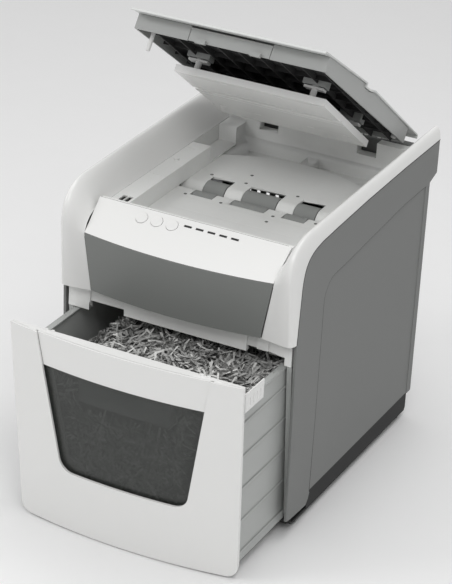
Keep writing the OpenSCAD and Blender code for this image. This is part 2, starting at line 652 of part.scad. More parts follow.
bush_r = shaft_r + 3;
motor_shaft_r = 4;
module plate_bores() {
  x = [-head_half - wall - 1, head_half + wall + 1];
  rod_x(x, front_axle, bush_r);
  rod_x(x, rear_axle, bush_r);
  rod_x(x, rear_feed, feed_shaft_r + running);
  rod_x(x, front_axis, feed_shaft_r + running);
  rod_x([0, x[1]], motor_axis, motor_shaft_r + running);
}
module cutter_side_plates() {
  color("silver") difference() {
    both_sides() side_prism([head_half, head_half + wall],
      [[155, floor_z + 3], [335, floor_z + 3], [335, 329], [262, 329], [246, bed_z - bed_t - 0.5],
       [160, bed_z - bed_t - 0.5], [155, 340]]);
    plate_bores();
  }
}
module cutter_bushes() {
  color("goldenrod") for (axle = [front_axle, rear_axle]) difference() {
    both_sides() rod_x([head_half, head_half + wall + 1], axle, bush_r);
    rod_x([-half_w, half_w], axle, shaft_r + running);
  }
}
tie_spots = [[162, 276], [272, 274], [328, 322]];
module tie_rods() {
  color("silver") for (p = tie_spots) rod_x([-head_half, head_half], p, 3);
}

// comb fingers reach between the discs to strip the paper off them
module comb(shift, reach, back) {
  n = disc_count - 1;
  x0 = -disc_count * disc_pitch / 2 + shift + disc_pitch;
  linear_extrude(5) polygon(concat([[-guide_half, back]],
    [for (i = [0:n - 1]) let (x = x0 + i * disc_pitch)
      each [[x - 0.8, back + 4], [x - 0.8, reach], [x + 0.8, reach], [x + 0.8, back + 4]]],
    [[guide_half, back]]));
}
module stripper_combs() {
  color("darkgray") translate([0, 0, head_z - 2.5]) {
    translate([0, front_axle[0] - disc_core - 1, 0]) comb(0, 0, -14);
    translate([0, rear_axle[0] + disc_core + 1, 0]) mirror([0, 1, 0]) comb(disc_pitch / 2, 0, -14);
  }
}

motor_x = [12, 106];
motor_r = 29;
module drive_motor() {
  color("dimgray") difference() {
    union() {
      rod_x(motor_x, motor_axis, motor_r);
      rod_x([motor_x[1], head_half], motor_axis, 12);
    }
    rod_x([motor_x[0] + 4, motor_x[1] - 4], motor_axis, 17);
    rod_x([motor_x[0] - 1, head_half + 1], motor_axis, motor_shaft_r + running);
  }
}
module motor_rotor() {
  color("silver") union() {
    rod_x([motor_x[0] - 6, big_x[0] + EPS], motor_axis, motor_shaft_r);
    rod_x([motor_x[0] + 8, motor_x[1] - 8], motor_axis, 16.4);
    gear(big_x, motor_axis, motor_teeth, motor_m, motor_turn);
  }
}
module power_board() {
  z = floor_z + 3;
  color("seagreen") box([-108, -24], [280, 345], [z + 4, z + 5.6]);
  color("ivory") for (x = [-104, -28]) for (y = [284, 341]) pin_z(x, y, [z, z + 4], 2.5);
  color("orange") box([-98, -66], [290, 322], [z + 5.6, z + 34]);
  color("black") pin_z(-44, 300, [z + 5.6, z + 30], 11);
  color("black") box([-60, -34], [324, 340], [z + 5.6, z + 22]);
}

// ---- lid: built shut, then swung open about its hinge ----
hinge = [hinge_y, hinge_z];
knuckle_r = 6.5;
module on_lid() {
  translate([0, hinge_y, hinge_z]) rotate([-lid_open, 0, 0]) translate([0, -hinge_y, -hinge_z])
    children();
}
module hinge_brackets() {
  back = hinge_y - 3;
  color("white") difference() {
    union() {
      for (sx = [-1, 1]) for (x = [arm_x - 11.6, arm_x + 7.2]) {
        x0 = sx > 0 ? x : -x - 4.4;
        rod_x([x0, x0 + 4.4], hinge, knuckle_r);
        box([x0, x0 + 4.4], [hinge_y - knuckle_r, hinge_y + knuckle_r], [hinge_z - 13, hinge_z]);
        box([x0, x0 + 4.4], [back, hinge_y + knuckle_r], [hinge_z - 15.9, hinge_z - 12]);
      }
      both_sides() box([arm_x - 16, arm_x - 14], [back - 12, back + 0.8], [hinge_z - 17, hinge_z - 14]);
    }
    rod_x([-half_w, half_w], hinge, hinge_pin_r);
  }
}
module hinge_pins() {
  color("silver") both_sides() rod_x([arm_x - 13, arm_x + 13], hinge, hinge_pin_r);
}
module lid_hinge_arms() {
  color("white") on_lid() difference() {
    both_sides() union() {
      rod_x([arm_x - arm_w / 2, arm_x + arm_w / 2], hinge, knuckle_r);
      box([arm_x - arm_w / 2, arm_x + arm_w / 2], [374, hinge_y], [hinge_z - 9, hinge_z + 0.5]);
    }
    rod_x([-half_w, half_w], hinge, hinge_pin_r + running);
  }
}

skin_t = 2.5;
function skin_z(y) = y < lid_step_y
  ? line(lid_lip_z, lid_top_z, (y - lid_front_y) / (lid_step_y - lid_front_y))
  : lid_top_z;
module lid_skin() {
  step = 5;
  color("whitesmoke") on_lid() difference() {
    side_prism([-lid_half, lid_half],
      [[lid_front_y, lid_lip_z - 4], [lid_front_y + 0.6, lid_lip_z - 1], [lid_front_y + 3, lid_lip_z],
       [lid_step_y, lid_top_z], [lid_step_y + 1, lid_top_z - step], [lid_step_y + 16, lid_top_z - step + 1],
       [lid_step_y + 29, lid_top_z - 0.6], [lid_step_y + 34, lid_top_z], [lid_rear_y - 2, lid_top_z],
       [lid_rear_y, lid_top_z - 2], [lid_rear_y, lid_top_z - 6], [lid_rear_y - 2, lid_top_z - 6],
       [lid_rear_y - 2, lid_top_z - skin_t], [lid_step_y + 34, lid_top_z - skin_t],
       [lid_step_y + 17, lid_top_z - step - skin_t + 1], [lid_step_y - 2, lid_top_z - step - skin_t],
       [lid_step_y - 3, lid_top_z - skin_t], [lid_front_y + 3, lid_lip_z - skin_t],
       [lid_front_y + 2, lid_lip_z - 4]]);
    both_sides() box([arm_x - 15, arm_x + 15], [hinge_y - 12, lid_rear_y + 1], [380, 420]);
  }
}

frame_x = [lid_half - 4.5, lid_half - 2.3];
function wall_outline(front, back) = [[front, lid_wall_z + 0.5], [front, skin_z(front) - skin_t - 0.2],
  [lid_step_y - 4, lid_top_z - skin_t - 0.5], [lid_step_y - 2, lid_top_z - 8.2],
  [lid_step_y + 17, lid_top_z - 7.2], [lid_step_y + 35, lid_top_z - skin_t - 0.2],
  [back, lid_top_z - skin_t - 0.2], [back, lid_wall_z + 9]];
module lid_frame() {
  color("darkgray") on_lid() union() {
    both_sides() side_prism(frame_x, wall_outline(49, 373));
    both_sides() box([55.5, frame_x[1]], [49, 51.2], [lid_wall_z + 0.5, skin_z(49) - skin_t - 0.2]);
    box([-frame_x[1], frame_x[1]], [371, 373], [lid_wall_z + 9, lid_top_z - skin_t - 0.2]);
  }
}

liner_z = 391;
post_half = [15.5, 8];
module post_box(x, y, grow, z) {
  box([x - post_half[0] - grow, x + post_half[0] + grow],
    [y - post_half[1] - grow, y + post_half[1] + grow], z);
}
module lid_liner() {
  color("#1b1c1d") on_lid() difference() {
    union() {
      box([-frame_x[0] + 0.2, frame_x[0] - 0.2], [52, 370.8], [liner_z, liner_z + 2]);
      for (x = [-112:28:112]) box([x - 0.8, x + 0.8], [53, 370], [liner_z - 8, liner_z]);
      for (y = [92:40:352]) box([-frame_x[0] + 0.2, frame_x[0] - 0.2], [y, y + 1.6],
        [liner_z - 6, liner_z]);
    }
    for (x = [-post_x, post_x]) for (y = post_y) post_box(x, y, 0.2, [liner_z - 9, liner_z + 3]);
    pin_z(pin_at[0], pin_at[1], [liner_z - 9, liner_z + 3], 6.2);
  }
}

stem_r = 4;
spring_r = [4.6, 6.2];
tee_z = plate_z + plate_t + 11;     // underside of a stem's cross plate
spring_z = [tee_z + 3.2, liner_z + 7];
module post_housings() {
  color("gray") on_lid() difference() {
    for (x = [-post_x, post_x]) for (y = post_y) post_box(x, y, 0, [tee_z + 4, liner_z + 10]);
    for (x = [-post_x, post_x]) for (y = post_y) {
      post_box(x, y, -1.5, [tee_z + 3, spring_z[1] + 0.2]);
      pin_z(x, y, [tee_z + 3, liner_z + 11], stem_r + running);
    }
  }
}
module plate_stems() {
  top = plate_z + plate_t;
  color("whitesmoke") on_lid() for (x = [-post_x, post_x]) for (y = post_y) union() {
    pin_z(x, y, [top, liner_z - 1], stem_r);
    post_box(x, y, -2.2, [tee_z, tee_z + 2.8]);
  }
}
module plate_springs() {
  color("silver") on_lid() for (x = [-post_x, post_x]) for (y = post_y) difference() {
    pin_z(x, y, spring_z, spring_r[1]);
    pin_z(x, y, [spring_z[0] - 1, spring_z[1] + 1], spring_r[0]);
  }
}
module interlock_pin() {
  color("whitesmoke") on_lid() union() {
    pin_z(pin_at[0], pin_at[1], [plate_z + 1, liner_z - 6], 2.6);
    pin_z(pin_at[0], pin_at[1], [liner_z - 6, liner_z + 6], 6);
  }
}
catch_axis = [50.1, 392.6];
module lid_catch() {
  color("darkgray") on_lid() union() {
    box([-54.6, 54.6], [49, 51.2], [lid_wall_z + 1, catch_axis[1] + 1]);
    rod_x([-55.2, 55.2], catch_axis, 1.6);
    for (x = [-37, 37]) box([x - 7, x + 7], [44.5, 49 + EPS], [lid_wall_z - 1, lid_wall_z + 4]);
  }
}
module pressure_plate() {
  groove_y = slot_y + 5;
  rear = plate_front_y + plate_len;
  color("white") on_lid() difference() {
    box([-plate_half, plate_half], [plate_front_y, rear], [plate_z, plate_z + plate_t]);
    box([-plate_half - 1, plate_half + 1], [groove_y - 4, groove_y + 4], [plate_z - 1, plate_z + 2.5]);
    box([-plate_half - 1, plate_half + 1], [groove_y + 16, groove_y + 18], [plate_z - 1, plate_z + 1]);
    for (x = [-88, -38, 38, 88]) for (y = [plate_front_y + 10, rear - 40])
      box([x - 5, x + 5], [y, y + 2], [plate_z - 1, plate_z + 3]);
    box([-plate_half + 3, plate_half - 3], [plate_front_y + 24, groove_y - 6],
      [plate_z + 5, plate_z + plate_t + 1]);
    box([-plate_half + 3, plate_half - 3], [groove_y + 6, rear - 34],
      [plate_z + 5, plate_z + plate_t + 1]);
  }
}

// ---- bin: drawn pulled out ----
function lean_y(z, depth = 0) = rest_front_y + (band_foot_z - z) * lean_rate + depth;
module on_front() {
  translate([0, rest_front_y, band_foot_z]) rotate([bin_lean, 0, 0]) translate([0, 0, -band_foot_z])
    children();
}
function bin_half_at(z) = bin_front_half - (band_foot_z - z) * 0.022;
function bin_outline(inset, top) = let (low = 1.5 + inset, r = 15) concat(
  [[bin_half_at(top) - inset, top]],
  arc(bin_half_at(18) - inset - r, low + r, r, 0, -90, 8),
  arc(-bin_half_at(18) + inset + r, low + r, r, -90, -180, 8),
  [[-bin_half_at(top) + inset, top]]);
window_low = 88;
band_low = 233;
function v_outline(grow, top, low) = let (r = 20 + grow, z = low - grow) concat(
  [[v_half(top) + grow, top]], arc(v_half(z + r) + grow - r, z + r, r, -8, -90, 8),
  arc(-v_half(z + r) - grow + r, z + r, r, -90, -172, 8), [[-v_half(top) - grow, top]]);
module front_shell(outer, thick, top) {
  intersection() {
    translate([0, rest_r, 0]) difference() {
      cylinder(r = outer, h = top, $fn = 200);
      translate([0, 0, -1]) cylinder(r = outer - thick, h = top + 2, $fn = 200);
    }
    children();
  }
}
rest_r = sqrt(pow(bin_front_r, 2) - pow(bin_front_half, 2));
high = band_foot_z + 20;
module below_rim(z = band_foot_z) {
  intersection() {
    box([-half_w, half_w], [rest_front_y - 60, rest_front_y + 120], [-5, z]);
    children();
  }
}
module bin_front() {
  color("white") below_rim() on_front() difference() {
    front_shell(bin_front_r, skin, high) front_prism([-60, 30], bin_outline(0, high));
    front_prism([-60, 40], v_outline(0, high + 1, window_low));
  }
}
inset_r = bin_front_r - inset_depth;
window_r = bin_front_r - 6;
module bin_inset_band() {
  color("white") below_rim() on_front() intersection() {
    front_shell(inset_r, skin, high) front_prism([-60, 30], v_outline(-seam, high, window_low));
    box([-half_w, half_w], [-60, 60], [band_low, high]);
  }
}
module bin_window() {
  color([0.1, 0.1, 0.1, 0.6]) on_front()
    front_shell(window_r, 2, band_foot_z - 8)
      front_prism([-60, 30], v_outline(5, band_foot_z - 8, window_low));
}
pocket_half = 62;
pocket_z = [194, band_low + 6];
module bin_grip_pocket() {
  color([0.8, 0.85, 0.85, 0.5]) on_front() difference() {
    translate([0, 0, 0]) intersection() {
      box([-pocket_half, pocket_half], [-20, 15], pocket_z);
      translate([0, rest_r, 0]) cylinder(r = window_r - 2.4, h = high, $fn = 200);
    }
    translate([0, 2, 0]) intersection() {
      box([-pocket_half + 1.6, pocket_half - 1.6], [-20, 11.4], [pocket_z[0] + 1.6, pocket_z[1] + 1]);
      translate([0, rest_r, 0]) cylinder(r = window_r - 2.4, h = high, $fn = 200);
    }
  }
}
ear_x = [bay_out + 0.4, side_in - 0.7];
ear_len = 52;
rim_pins = [-110, -101, 101, 110];
module bin_inner_panel() {
  color("white") difference() {
    union() {
      below_rim() on_front() difference() {
        front_prism([skin + plate_gap, plate_back], bin_outline(0.8, high));
        front_prism([skin, plate_back + 1], v_outline(-5, band_low + 4, window_low + 2));
        box([-pocket_half - 0.6, pocket_half + 0.6], [0, 20], [pocket_z[0] - 0.6, pocket_z[1] + 0.6]);
      }
      intersection() {
        box([-bin_half_at(band_foot_z) + 0.8, bin_half_at(band_foot_z) - 0.8],
          [rest_front_y - 60, lean_y(band_foot_z, skin + plate_gap + 1)], [band_foot_z - 2.6, band_foot_z]);
        on_front() translate([0, rest_r, 0]) difference() {
          cylinder(r = bin_front_r - skin - plate_gap, h = high, $fn = 200);
          translate([0, -rest_r, 0]) difference() {
            front_prism([-60, 0.5], v_outline(3, high, window_low));
            translate([0, rest_r, 0]) cylinder(r = inset_r - skin - plate_gap, h = high, $fn = 200);
          }
        }
      }
      box(ear_x, [lean_y(240, plate_back - 1.6), rest_front_y + ear_len + 4],
        [bin_rim_z - 2, band_foot_z - 11]);
      box([bin_half + 1.6, ear_x[1]], [lean_y(240, plate_back - 1.6), lean_y(240, plate_back + 1)],
        [bin_rim_z + 1, band_foot_z - 11]);
      for (x = rim_pins) pin_z(x, rest_front_y + 4.4, [band_foot_z - 8, band_foot_z + 1.4], 2.4);
    }
    for (i = [0:3]) box([ear_x[0] - 1, ear_x[1] + 1],
      [rest_front_y + 20 + i * 9, rest_front_y + 21.2 + i * 9], [bin_rim_z + 3, bin_rim_z + 14]);
  }
}
box_low = base_z + 9.2;
box_rear = rest_front_y + bin_len + 6;
module bin_body() {
  w = bin_wall;
  top = bin_rim_z;
  front = plate_back + 0.4;
  color("gainsboro") difference() {
    union() {
      side_prism([-bin_half, bin_half], [[lean_y(top, front), top], [lean_y(box_low, front), box_low],
        [box_rear - 14, box_low], [box_rear - 4, 60], [box_rear, top]]);
      both_sides() for (i = [0:bin_ribs - 1])
        let (z = line(box_low + 12, top - 30, i / max(1, bin_ribs - 1)))
        side_prism([bin_half - 0.5, bin_half + 1.4], [[lean_y(z, front + 2), z], [box_rear - 12, z],
          [box_rear - 12, z + 3], [lean_y(z + 3, front + 2), z + 3]]);
      both_sides() box([bin_half - 1, bin_half + 1.4], [lean_y(top, front + 1), box_rear - 1],
        [top - 3, top - 0.4]);
    }
    side_prism([-bin_half + w, bin_half - w], [[rest_front_y - 40, top - 2.5],
      [rest_front_y - 40, box_low + w],
      [box_rear - 14 - w, box_low + w], [box_rear - 4 - w, 60], [box_rear - w, top - 2.5]]);
    side_prism([-bin_half + 7, bin_half - 7], [[rest_front_y - 40, top - 3], [box_rear - 7, top - 3],
      [box_rear - 7, top + 1], [rest_front_y - 40, top + 1]]);
  }
}
module shred_heap() {
  w = bin_wall + 0.4;
  low = box_low + w;
  color("lightgray") union() {
    side_prism([-bin_half + w, bin_half - w], [[lean_y(low, 9), low], [lean_y(180, 9), 180],
      [lean_y(192, 22), 192], [lean_y(232, 22), 232], [-70, 240], [-5, 240], [45, 214], [100, 160],
      [box_rear - 24, 130], [box_rear - 24, low]]);
    side_prism([-108, 108], [[-98, 236], [-75, 247], [-20, 247], [12, 236]]);
  }
}

// ---- which node to draw ----
module at_origin() {
  translate([0, -origin_y, 0]) children();
}
at_origin() base_tray();
at_origin() rubber_feet();
at_origin() side_panel_left();
at_origin() side_panel_right();
at_origin() side_band_left();
at_origin() side_band_right();
at_origin() bay_wall_left();
at_origin() bay_wall_right();
at_origin() rear_cover();
at_origin() mains_inlet();
at_origin() rocker_switch();
at_origin() front_fascia();
at_origin() control_panel();
at_origin() status_lenses();
at_origin() control_board();
at_origin() power_key();
at_origin() reverse_key();
at_origin() forward_key();
at_origin() head_beam();
at_origin() paper_tray();
at_origin() rear_deck();
at_origin() paper_rail();
at_origin() rail_plunger();
at_origin() interlock_switch();
at_origin() paper_sensors();
at_origin() cutter_side_plates();
at_origin() tie_rods();
at_origin() cutter_bushes();
at_origin() stripper_combs();
at_origin() drive_motor();
at_origin() motor_rotor();
at_origin() transfer_gear();
at_origin() idler_gear();
at_origin() gear_axles();
at_origin() power_board();
at_origin() front_cutter();
at_origin() rear_cutter();
at_origin() front_cutter_gear();
at_origin() rear_cutter_gears();
at_origin() front_feed_roller();
at_origin() rear_feed_roller();
at_origin() hinge_brackets();
at_origin() hinge_pins();
at_origin() lid_skin();
at_origin() lid_frame();
at_origin() lid_liner();
at_origin() lid_hinge_arms();
at_origin() post_housings();
at_origin() interlock_pin();
at_origin() lid_catch();
at_origin() pressure_plate();
at_origin() plate_stems();
at_origin() plate_springs();
at_origin() bin_front();
at_origin() bin_inset_band();
at_origin() bin_window();
at_origin() bin_grip_pocket();
at_origin() bin_inner_panel();
at_origin() bin_body();
at_origin() shred_heap();
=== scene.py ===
"""Finish of an auto-feed paper shredder: shells, paper bed, lid, bin and cut paper round the fixed frame."""

import json
import math
import random

import bmesh
import bpy
from bpy.props import FloatProperty, FloatVectorProperty, IntProperty, PointerProperty
from mathutils import Matrix, Vector, noise

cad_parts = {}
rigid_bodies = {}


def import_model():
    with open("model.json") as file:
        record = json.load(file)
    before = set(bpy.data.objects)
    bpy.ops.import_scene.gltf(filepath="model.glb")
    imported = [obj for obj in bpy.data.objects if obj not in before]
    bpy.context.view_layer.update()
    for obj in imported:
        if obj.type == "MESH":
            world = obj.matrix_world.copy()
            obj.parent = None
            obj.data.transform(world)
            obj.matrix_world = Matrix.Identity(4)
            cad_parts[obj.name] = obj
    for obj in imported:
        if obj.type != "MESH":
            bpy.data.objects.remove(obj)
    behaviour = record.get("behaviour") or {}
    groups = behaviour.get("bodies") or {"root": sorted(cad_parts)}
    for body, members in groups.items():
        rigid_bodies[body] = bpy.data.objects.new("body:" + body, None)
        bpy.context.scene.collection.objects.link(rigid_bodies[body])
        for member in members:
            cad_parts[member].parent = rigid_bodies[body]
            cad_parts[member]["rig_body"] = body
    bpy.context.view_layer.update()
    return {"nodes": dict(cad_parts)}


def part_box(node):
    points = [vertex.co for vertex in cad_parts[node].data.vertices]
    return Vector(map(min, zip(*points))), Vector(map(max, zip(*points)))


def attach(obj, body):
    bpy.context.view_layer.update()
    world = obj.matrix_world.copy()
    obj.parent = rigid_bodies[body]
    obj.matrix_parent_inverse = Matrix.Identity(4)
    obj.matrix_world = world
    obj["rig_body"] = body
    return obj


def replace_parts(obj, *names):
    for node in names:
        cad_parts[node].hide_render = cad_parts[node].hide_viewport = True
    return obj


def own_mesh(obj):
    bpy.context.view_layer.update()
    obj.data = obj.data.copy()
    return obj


bl_info = {
    "name": "Paper shredder finish",
    "version": (1, 0, 0),
    "blender": (4, 5, 0),
    "location": "View3D > Sidebar > Shredder",
    "description": "Builds the visible shells, fittings and cut paper of an auto-feed shredder",
    "category": "Object",
}

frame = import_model()
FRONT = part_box("side_panel_right")[0].y  # foot of the side bands, from which every y below is counted
HALF_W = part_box("side_panel_right")[1].x * 1000
BODY_D = (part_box("side_panel_right")[1].y - FRONT) * 1000
HINGE = (399.0, 405.0)
LID_OPEN = math.radians(36)
FOOT_Z, SEAM_Z, CROWN_RISE, RAIL_TOP = 277.0, 401.0, 18.0, 374.5
FASCIA_TOP, FASCIA_HALF, V_SLOPE = 354.0, 130.0, 0.163
PANEL_REAR_Y, PANEL_REAR_Z, FASCIA_R = 33.0, 387.0, 650.0
BIN_REST, BIN_LEAN = -131.0, math.tan(math.radians(5.6))
KEYS = ((-66, "power_key"), (-45, "reverse_key"), (-24, "forward_key"))
KEY_Y, LENS_Y, LENS_X = 21.0, 24.5, (-4, 12, 28, 44, 60)
POSTS = [(x, y) for x in (-80, 80) for y in (151, 295)]


# ---- places ----
def at(x, y, z):
    return Vector((x / 1000, FRONT + y / 1000, z / 1000))


def on_lid(x, y, z):
    """A point of the shut lid, carried to where the lid stands open."""
    ry, rz = y - HINGE[0], z - HINGE[1]
    c, s = math.cos(LID_OPEN), math.sin(LID_OPEN)
    return at(x, HINGE[0] + ry * c + rz * s, HINGE[1] - ry * s + rz * c)


def lid_matrix(x, y, z):
    return Matrix.Translation(on_lid(x, y, z)) @ Matrix.Rotation(-LID_OPEN, 4, "X")


def mix(a, b, t):
    return tuple(p + (q - p) * t for p, q in zip(a, b))


def curve(a, b, c, d, t):
    u = 1 - t
    return tuple(
        p * u**3 + 3 * q * t * u * u + 3 * r * t * t * u + s * t**3
        for p, q, r, s in zip(a, b, c, d)
    )


def v_half(z):
    return FASCIA_HALF - (FASCIA_TOP - z) * V_SLOPE


def panel_front(x):
    return -7.7 - (FASCIA_HALF**2 - x * x) / (2 * FASCIA_R)


def slope_z(x, y):
    f = panel_front(x)
    return FASCIA_TOP + 0.4 + (PANEL_REAR_Z - FASCIA_TOP - 0.4) * (y - f) / (PANEL_REAR_Y - f)


SLOPE = math.atan((slope_z(-45, 30) - slope_z(-45, 10)) / 20)


def slope_matrix(x, y, lift=0.0):
    lifted = Matrix.Rotation(SLOPE, 4, "X") @ Matrix.Translation((0, 0, lift / 1000))
    return Matrix.Translation(at(x, y, slope_z(x, y))) @ lifted


def seam_top(y):
    """Height of the seam between a side panel and its band, towards the rear."""
    table = ((59, SEAM_Z - 7.4), (95, SEAM_Z - 5.5), (181, SEAM_Z - 2), (295, SEAM_Z), (BODY_D + 1, SEAM_Z))
    for (y0, z0), (y1, z1) in zip(table, table[1:]):
        if y <= y1:
            return z0 + (z1 - z0) * (y - y0) / (y1 - y0)
    return SEAM_Z


def lean_y(z, depth=0.0):
    return BIN_REST + (FOOT_Z - z) * BIN_LEAN + depth


def skin_y(x, z, depth=0.0):
    """The curved bin front at x and z, depth behind its face."""
    return lean_y(z, depth - 15.3 + x * x / 1640)


# ---- finishes ----
def wire(tree, source, target):
    tree.links.new(source, target)


def node(tree, kind, **values):
    n = tree.nodes.new(kind)
    for key, value in values.items():
        setattr(n, key, value)
    return n


def scaled_noise(tree, coordinates, scale, detail=3.0, stretch=None):
    place = node(tree, "ShaderNodeMapping")
    if stretch:
        place.inputs["Scale"].default_value = stretch
    wire(tree, coordinates, place.inputs["Vector"])
    n = node(tree, "ShaderNodeTexNoise")
    n.inputs["Scale"].default_value = scale
    n.inputs["Detail"].default_value = detail
    wire(tree, place.outputs["Vector"], n.inputs["Vector"])
    return n.outputs["Fac"]


def ranged(tree, value, low, high, start=0.3, end=0.7):
    n = node(tree, "ShaderNodeMapRange")
    n.inputs["From Min"].default_value = start
    n.inputs["From Max"].default_value = end
    n.inputs["To Min"].default_value = low
    n.inputs["To Max"].default_value = high
    wire(tree, value, n.inputs["Value"])
    return n.outputs["Result"]


def finish(name, colour, rough, grain=0.1, pitch=900.0, mottle=0.03, convex_lift=0.25, metallic=0.0,
           coat=0.0, alpha=1.0, specular=0.5, stretch=None, depth=0.0002, sheen=0.0):
    """A moulded, rubber or metal finish: mottled colour, uneven gloss, fine grain and colour lighter on convex edges.
    """
    found = bpy.data.materials.get(name)
    if found:
        return found
    m = bpy.data.materials.new(name)
    m.use_nodes = True
    m.diffuse_color = (*colour[:3], alpha)
    tree = m.node_tree
    shader = tree.nodes["Principled BSDF"]
    where = node(tree, "ShaderNodeTexCoord").outputs["Object"]
    broad = ranged(tree, scaled_noise(tree, where, 14.0), -mottle, mottle)
    fine = ranged(tree, scaled_noise(tree, where, 160.0), -mottle / 2, mottle / 2)
    both = node(tree, "ShaderNodeMath", operation="ADD")
    wire(tree, broad, both.inputs[0])
    wire(tree, fine, both.inputs[1])
    # Colour grows lighter on convex edges, where the mesh's pointiness is high, by up to the given amount.
    edge = ranged(tree, node(tree, "ShaderNodeNewGeometry").outputs["Pointiness"], 0.0, convex_lift, 0.52, 0.62)
    total = node(tree, "ShaderNodeMath", operation="MULTIPLY_ADD")
    total.inputs[1].default_value = 1.0
    wire(tree, both.outputs[0], total.inputs[0])
    wire(tree, edge, total.inputs[2])
    tint = node(tree, "ShaderNodeHueSaturation")
    tint.inputs["Color"].default_value = (*colour[:3], 1)
    lift = node(tree, "ShaderNodeMath", operation="ADD")
    lift.inputs[1].default_value = 1.0
    wire(tree, total.outputs[0], lift.inputs[0])
    wire(tree, lift.outputs[0], tint.inputs["Value"])
    wire(tree, tint.outputs["Color"], shader.inputs["Base Color"])
    gloss = ranged(tree, scaled_noise(tree, where, 45.0), max(0.03, rough - 0.06), min(1, rough + 0.07))
    wire(tree, gloss, shader.inputs["Roughness"])
    bump = node(tree, "ShaderNodeBump")
    bump.inputs["Strength"].default_value = grain
    bump.inputs["Distance"].default_value = depth
    wire(tree, scaled_noise(tree, where, pitch, 4.0, stretch), bump.inputs["Height"])
    wire(tree, bump.outputs["Normal"], shader.inputs["Normal"])
    shader.inputs["Metallic"].default_value = metallic
    shader.inputs["Coat Weight"].default_value = coat
    shader.inputs["Coat Roughness"].default_value = 0.15
    shader.inputs["Specular IOR Level"].default_value = specular
    shader.inputs["Sheen Weight"].default_value = sheen
    if alpha < 1:
        shader.inputs["Alpha"].default_value = alpha
        m.surface_render_method = "BLENDED"
    return m


def paper_finish(colour):
    """Cut paper: each strip has its own shade, and faint broken lines of print."""
    m = bpy.data.materials.new("cut_paper")
    m.use_nodes = True
    tree = m.node_tree
    shader = tree.nodes["Principled BSDF"]
    shade = node(tree, "ShaderNodeAttribute", attribute_name="shade").outputs["Fac"]
    where = node(tree, "ShaderNodeTexCoord").outputs["Object"]
    lines = ranged(tree, scaled_noise(tree, where, 420.0, 2.0), 0.0, -0.35, 0.56, 0.66)
    total = node(tree, "ShaderNodeMath", operation="ADD")
    wire(tree, shade, total.inputs[0])
    wire(tree, lines, total.inputs[1])
    tint = node(tree, "ShaderNodeHueSaturation")
    tint.inputs["Color"].default_value = (*colour[:3], 1)
    wire(tree, total.outputs[0], tint.inputs["Value"])
    wire(tree, tint.outputs["Color"], shader.inputs["Base Color"])
    wire(tree, ranged(tree, scaled_noise(tree, where, 90.0), 0.7, 0.95), shader.inputs["Roughness"])
    bump = node(tree, "ShaderNodeBump")
    bump.inputs["Strength"].default_value = 0.2
    bump.inputs["Distance"].default_value = 0.0002
    wire(tree, scaled_noise(tree, where, 1500.0), bump.inputs["Height"])
    wire(tree, bump.outputs["Normal"], shader.inputs["Normal"])
    return m


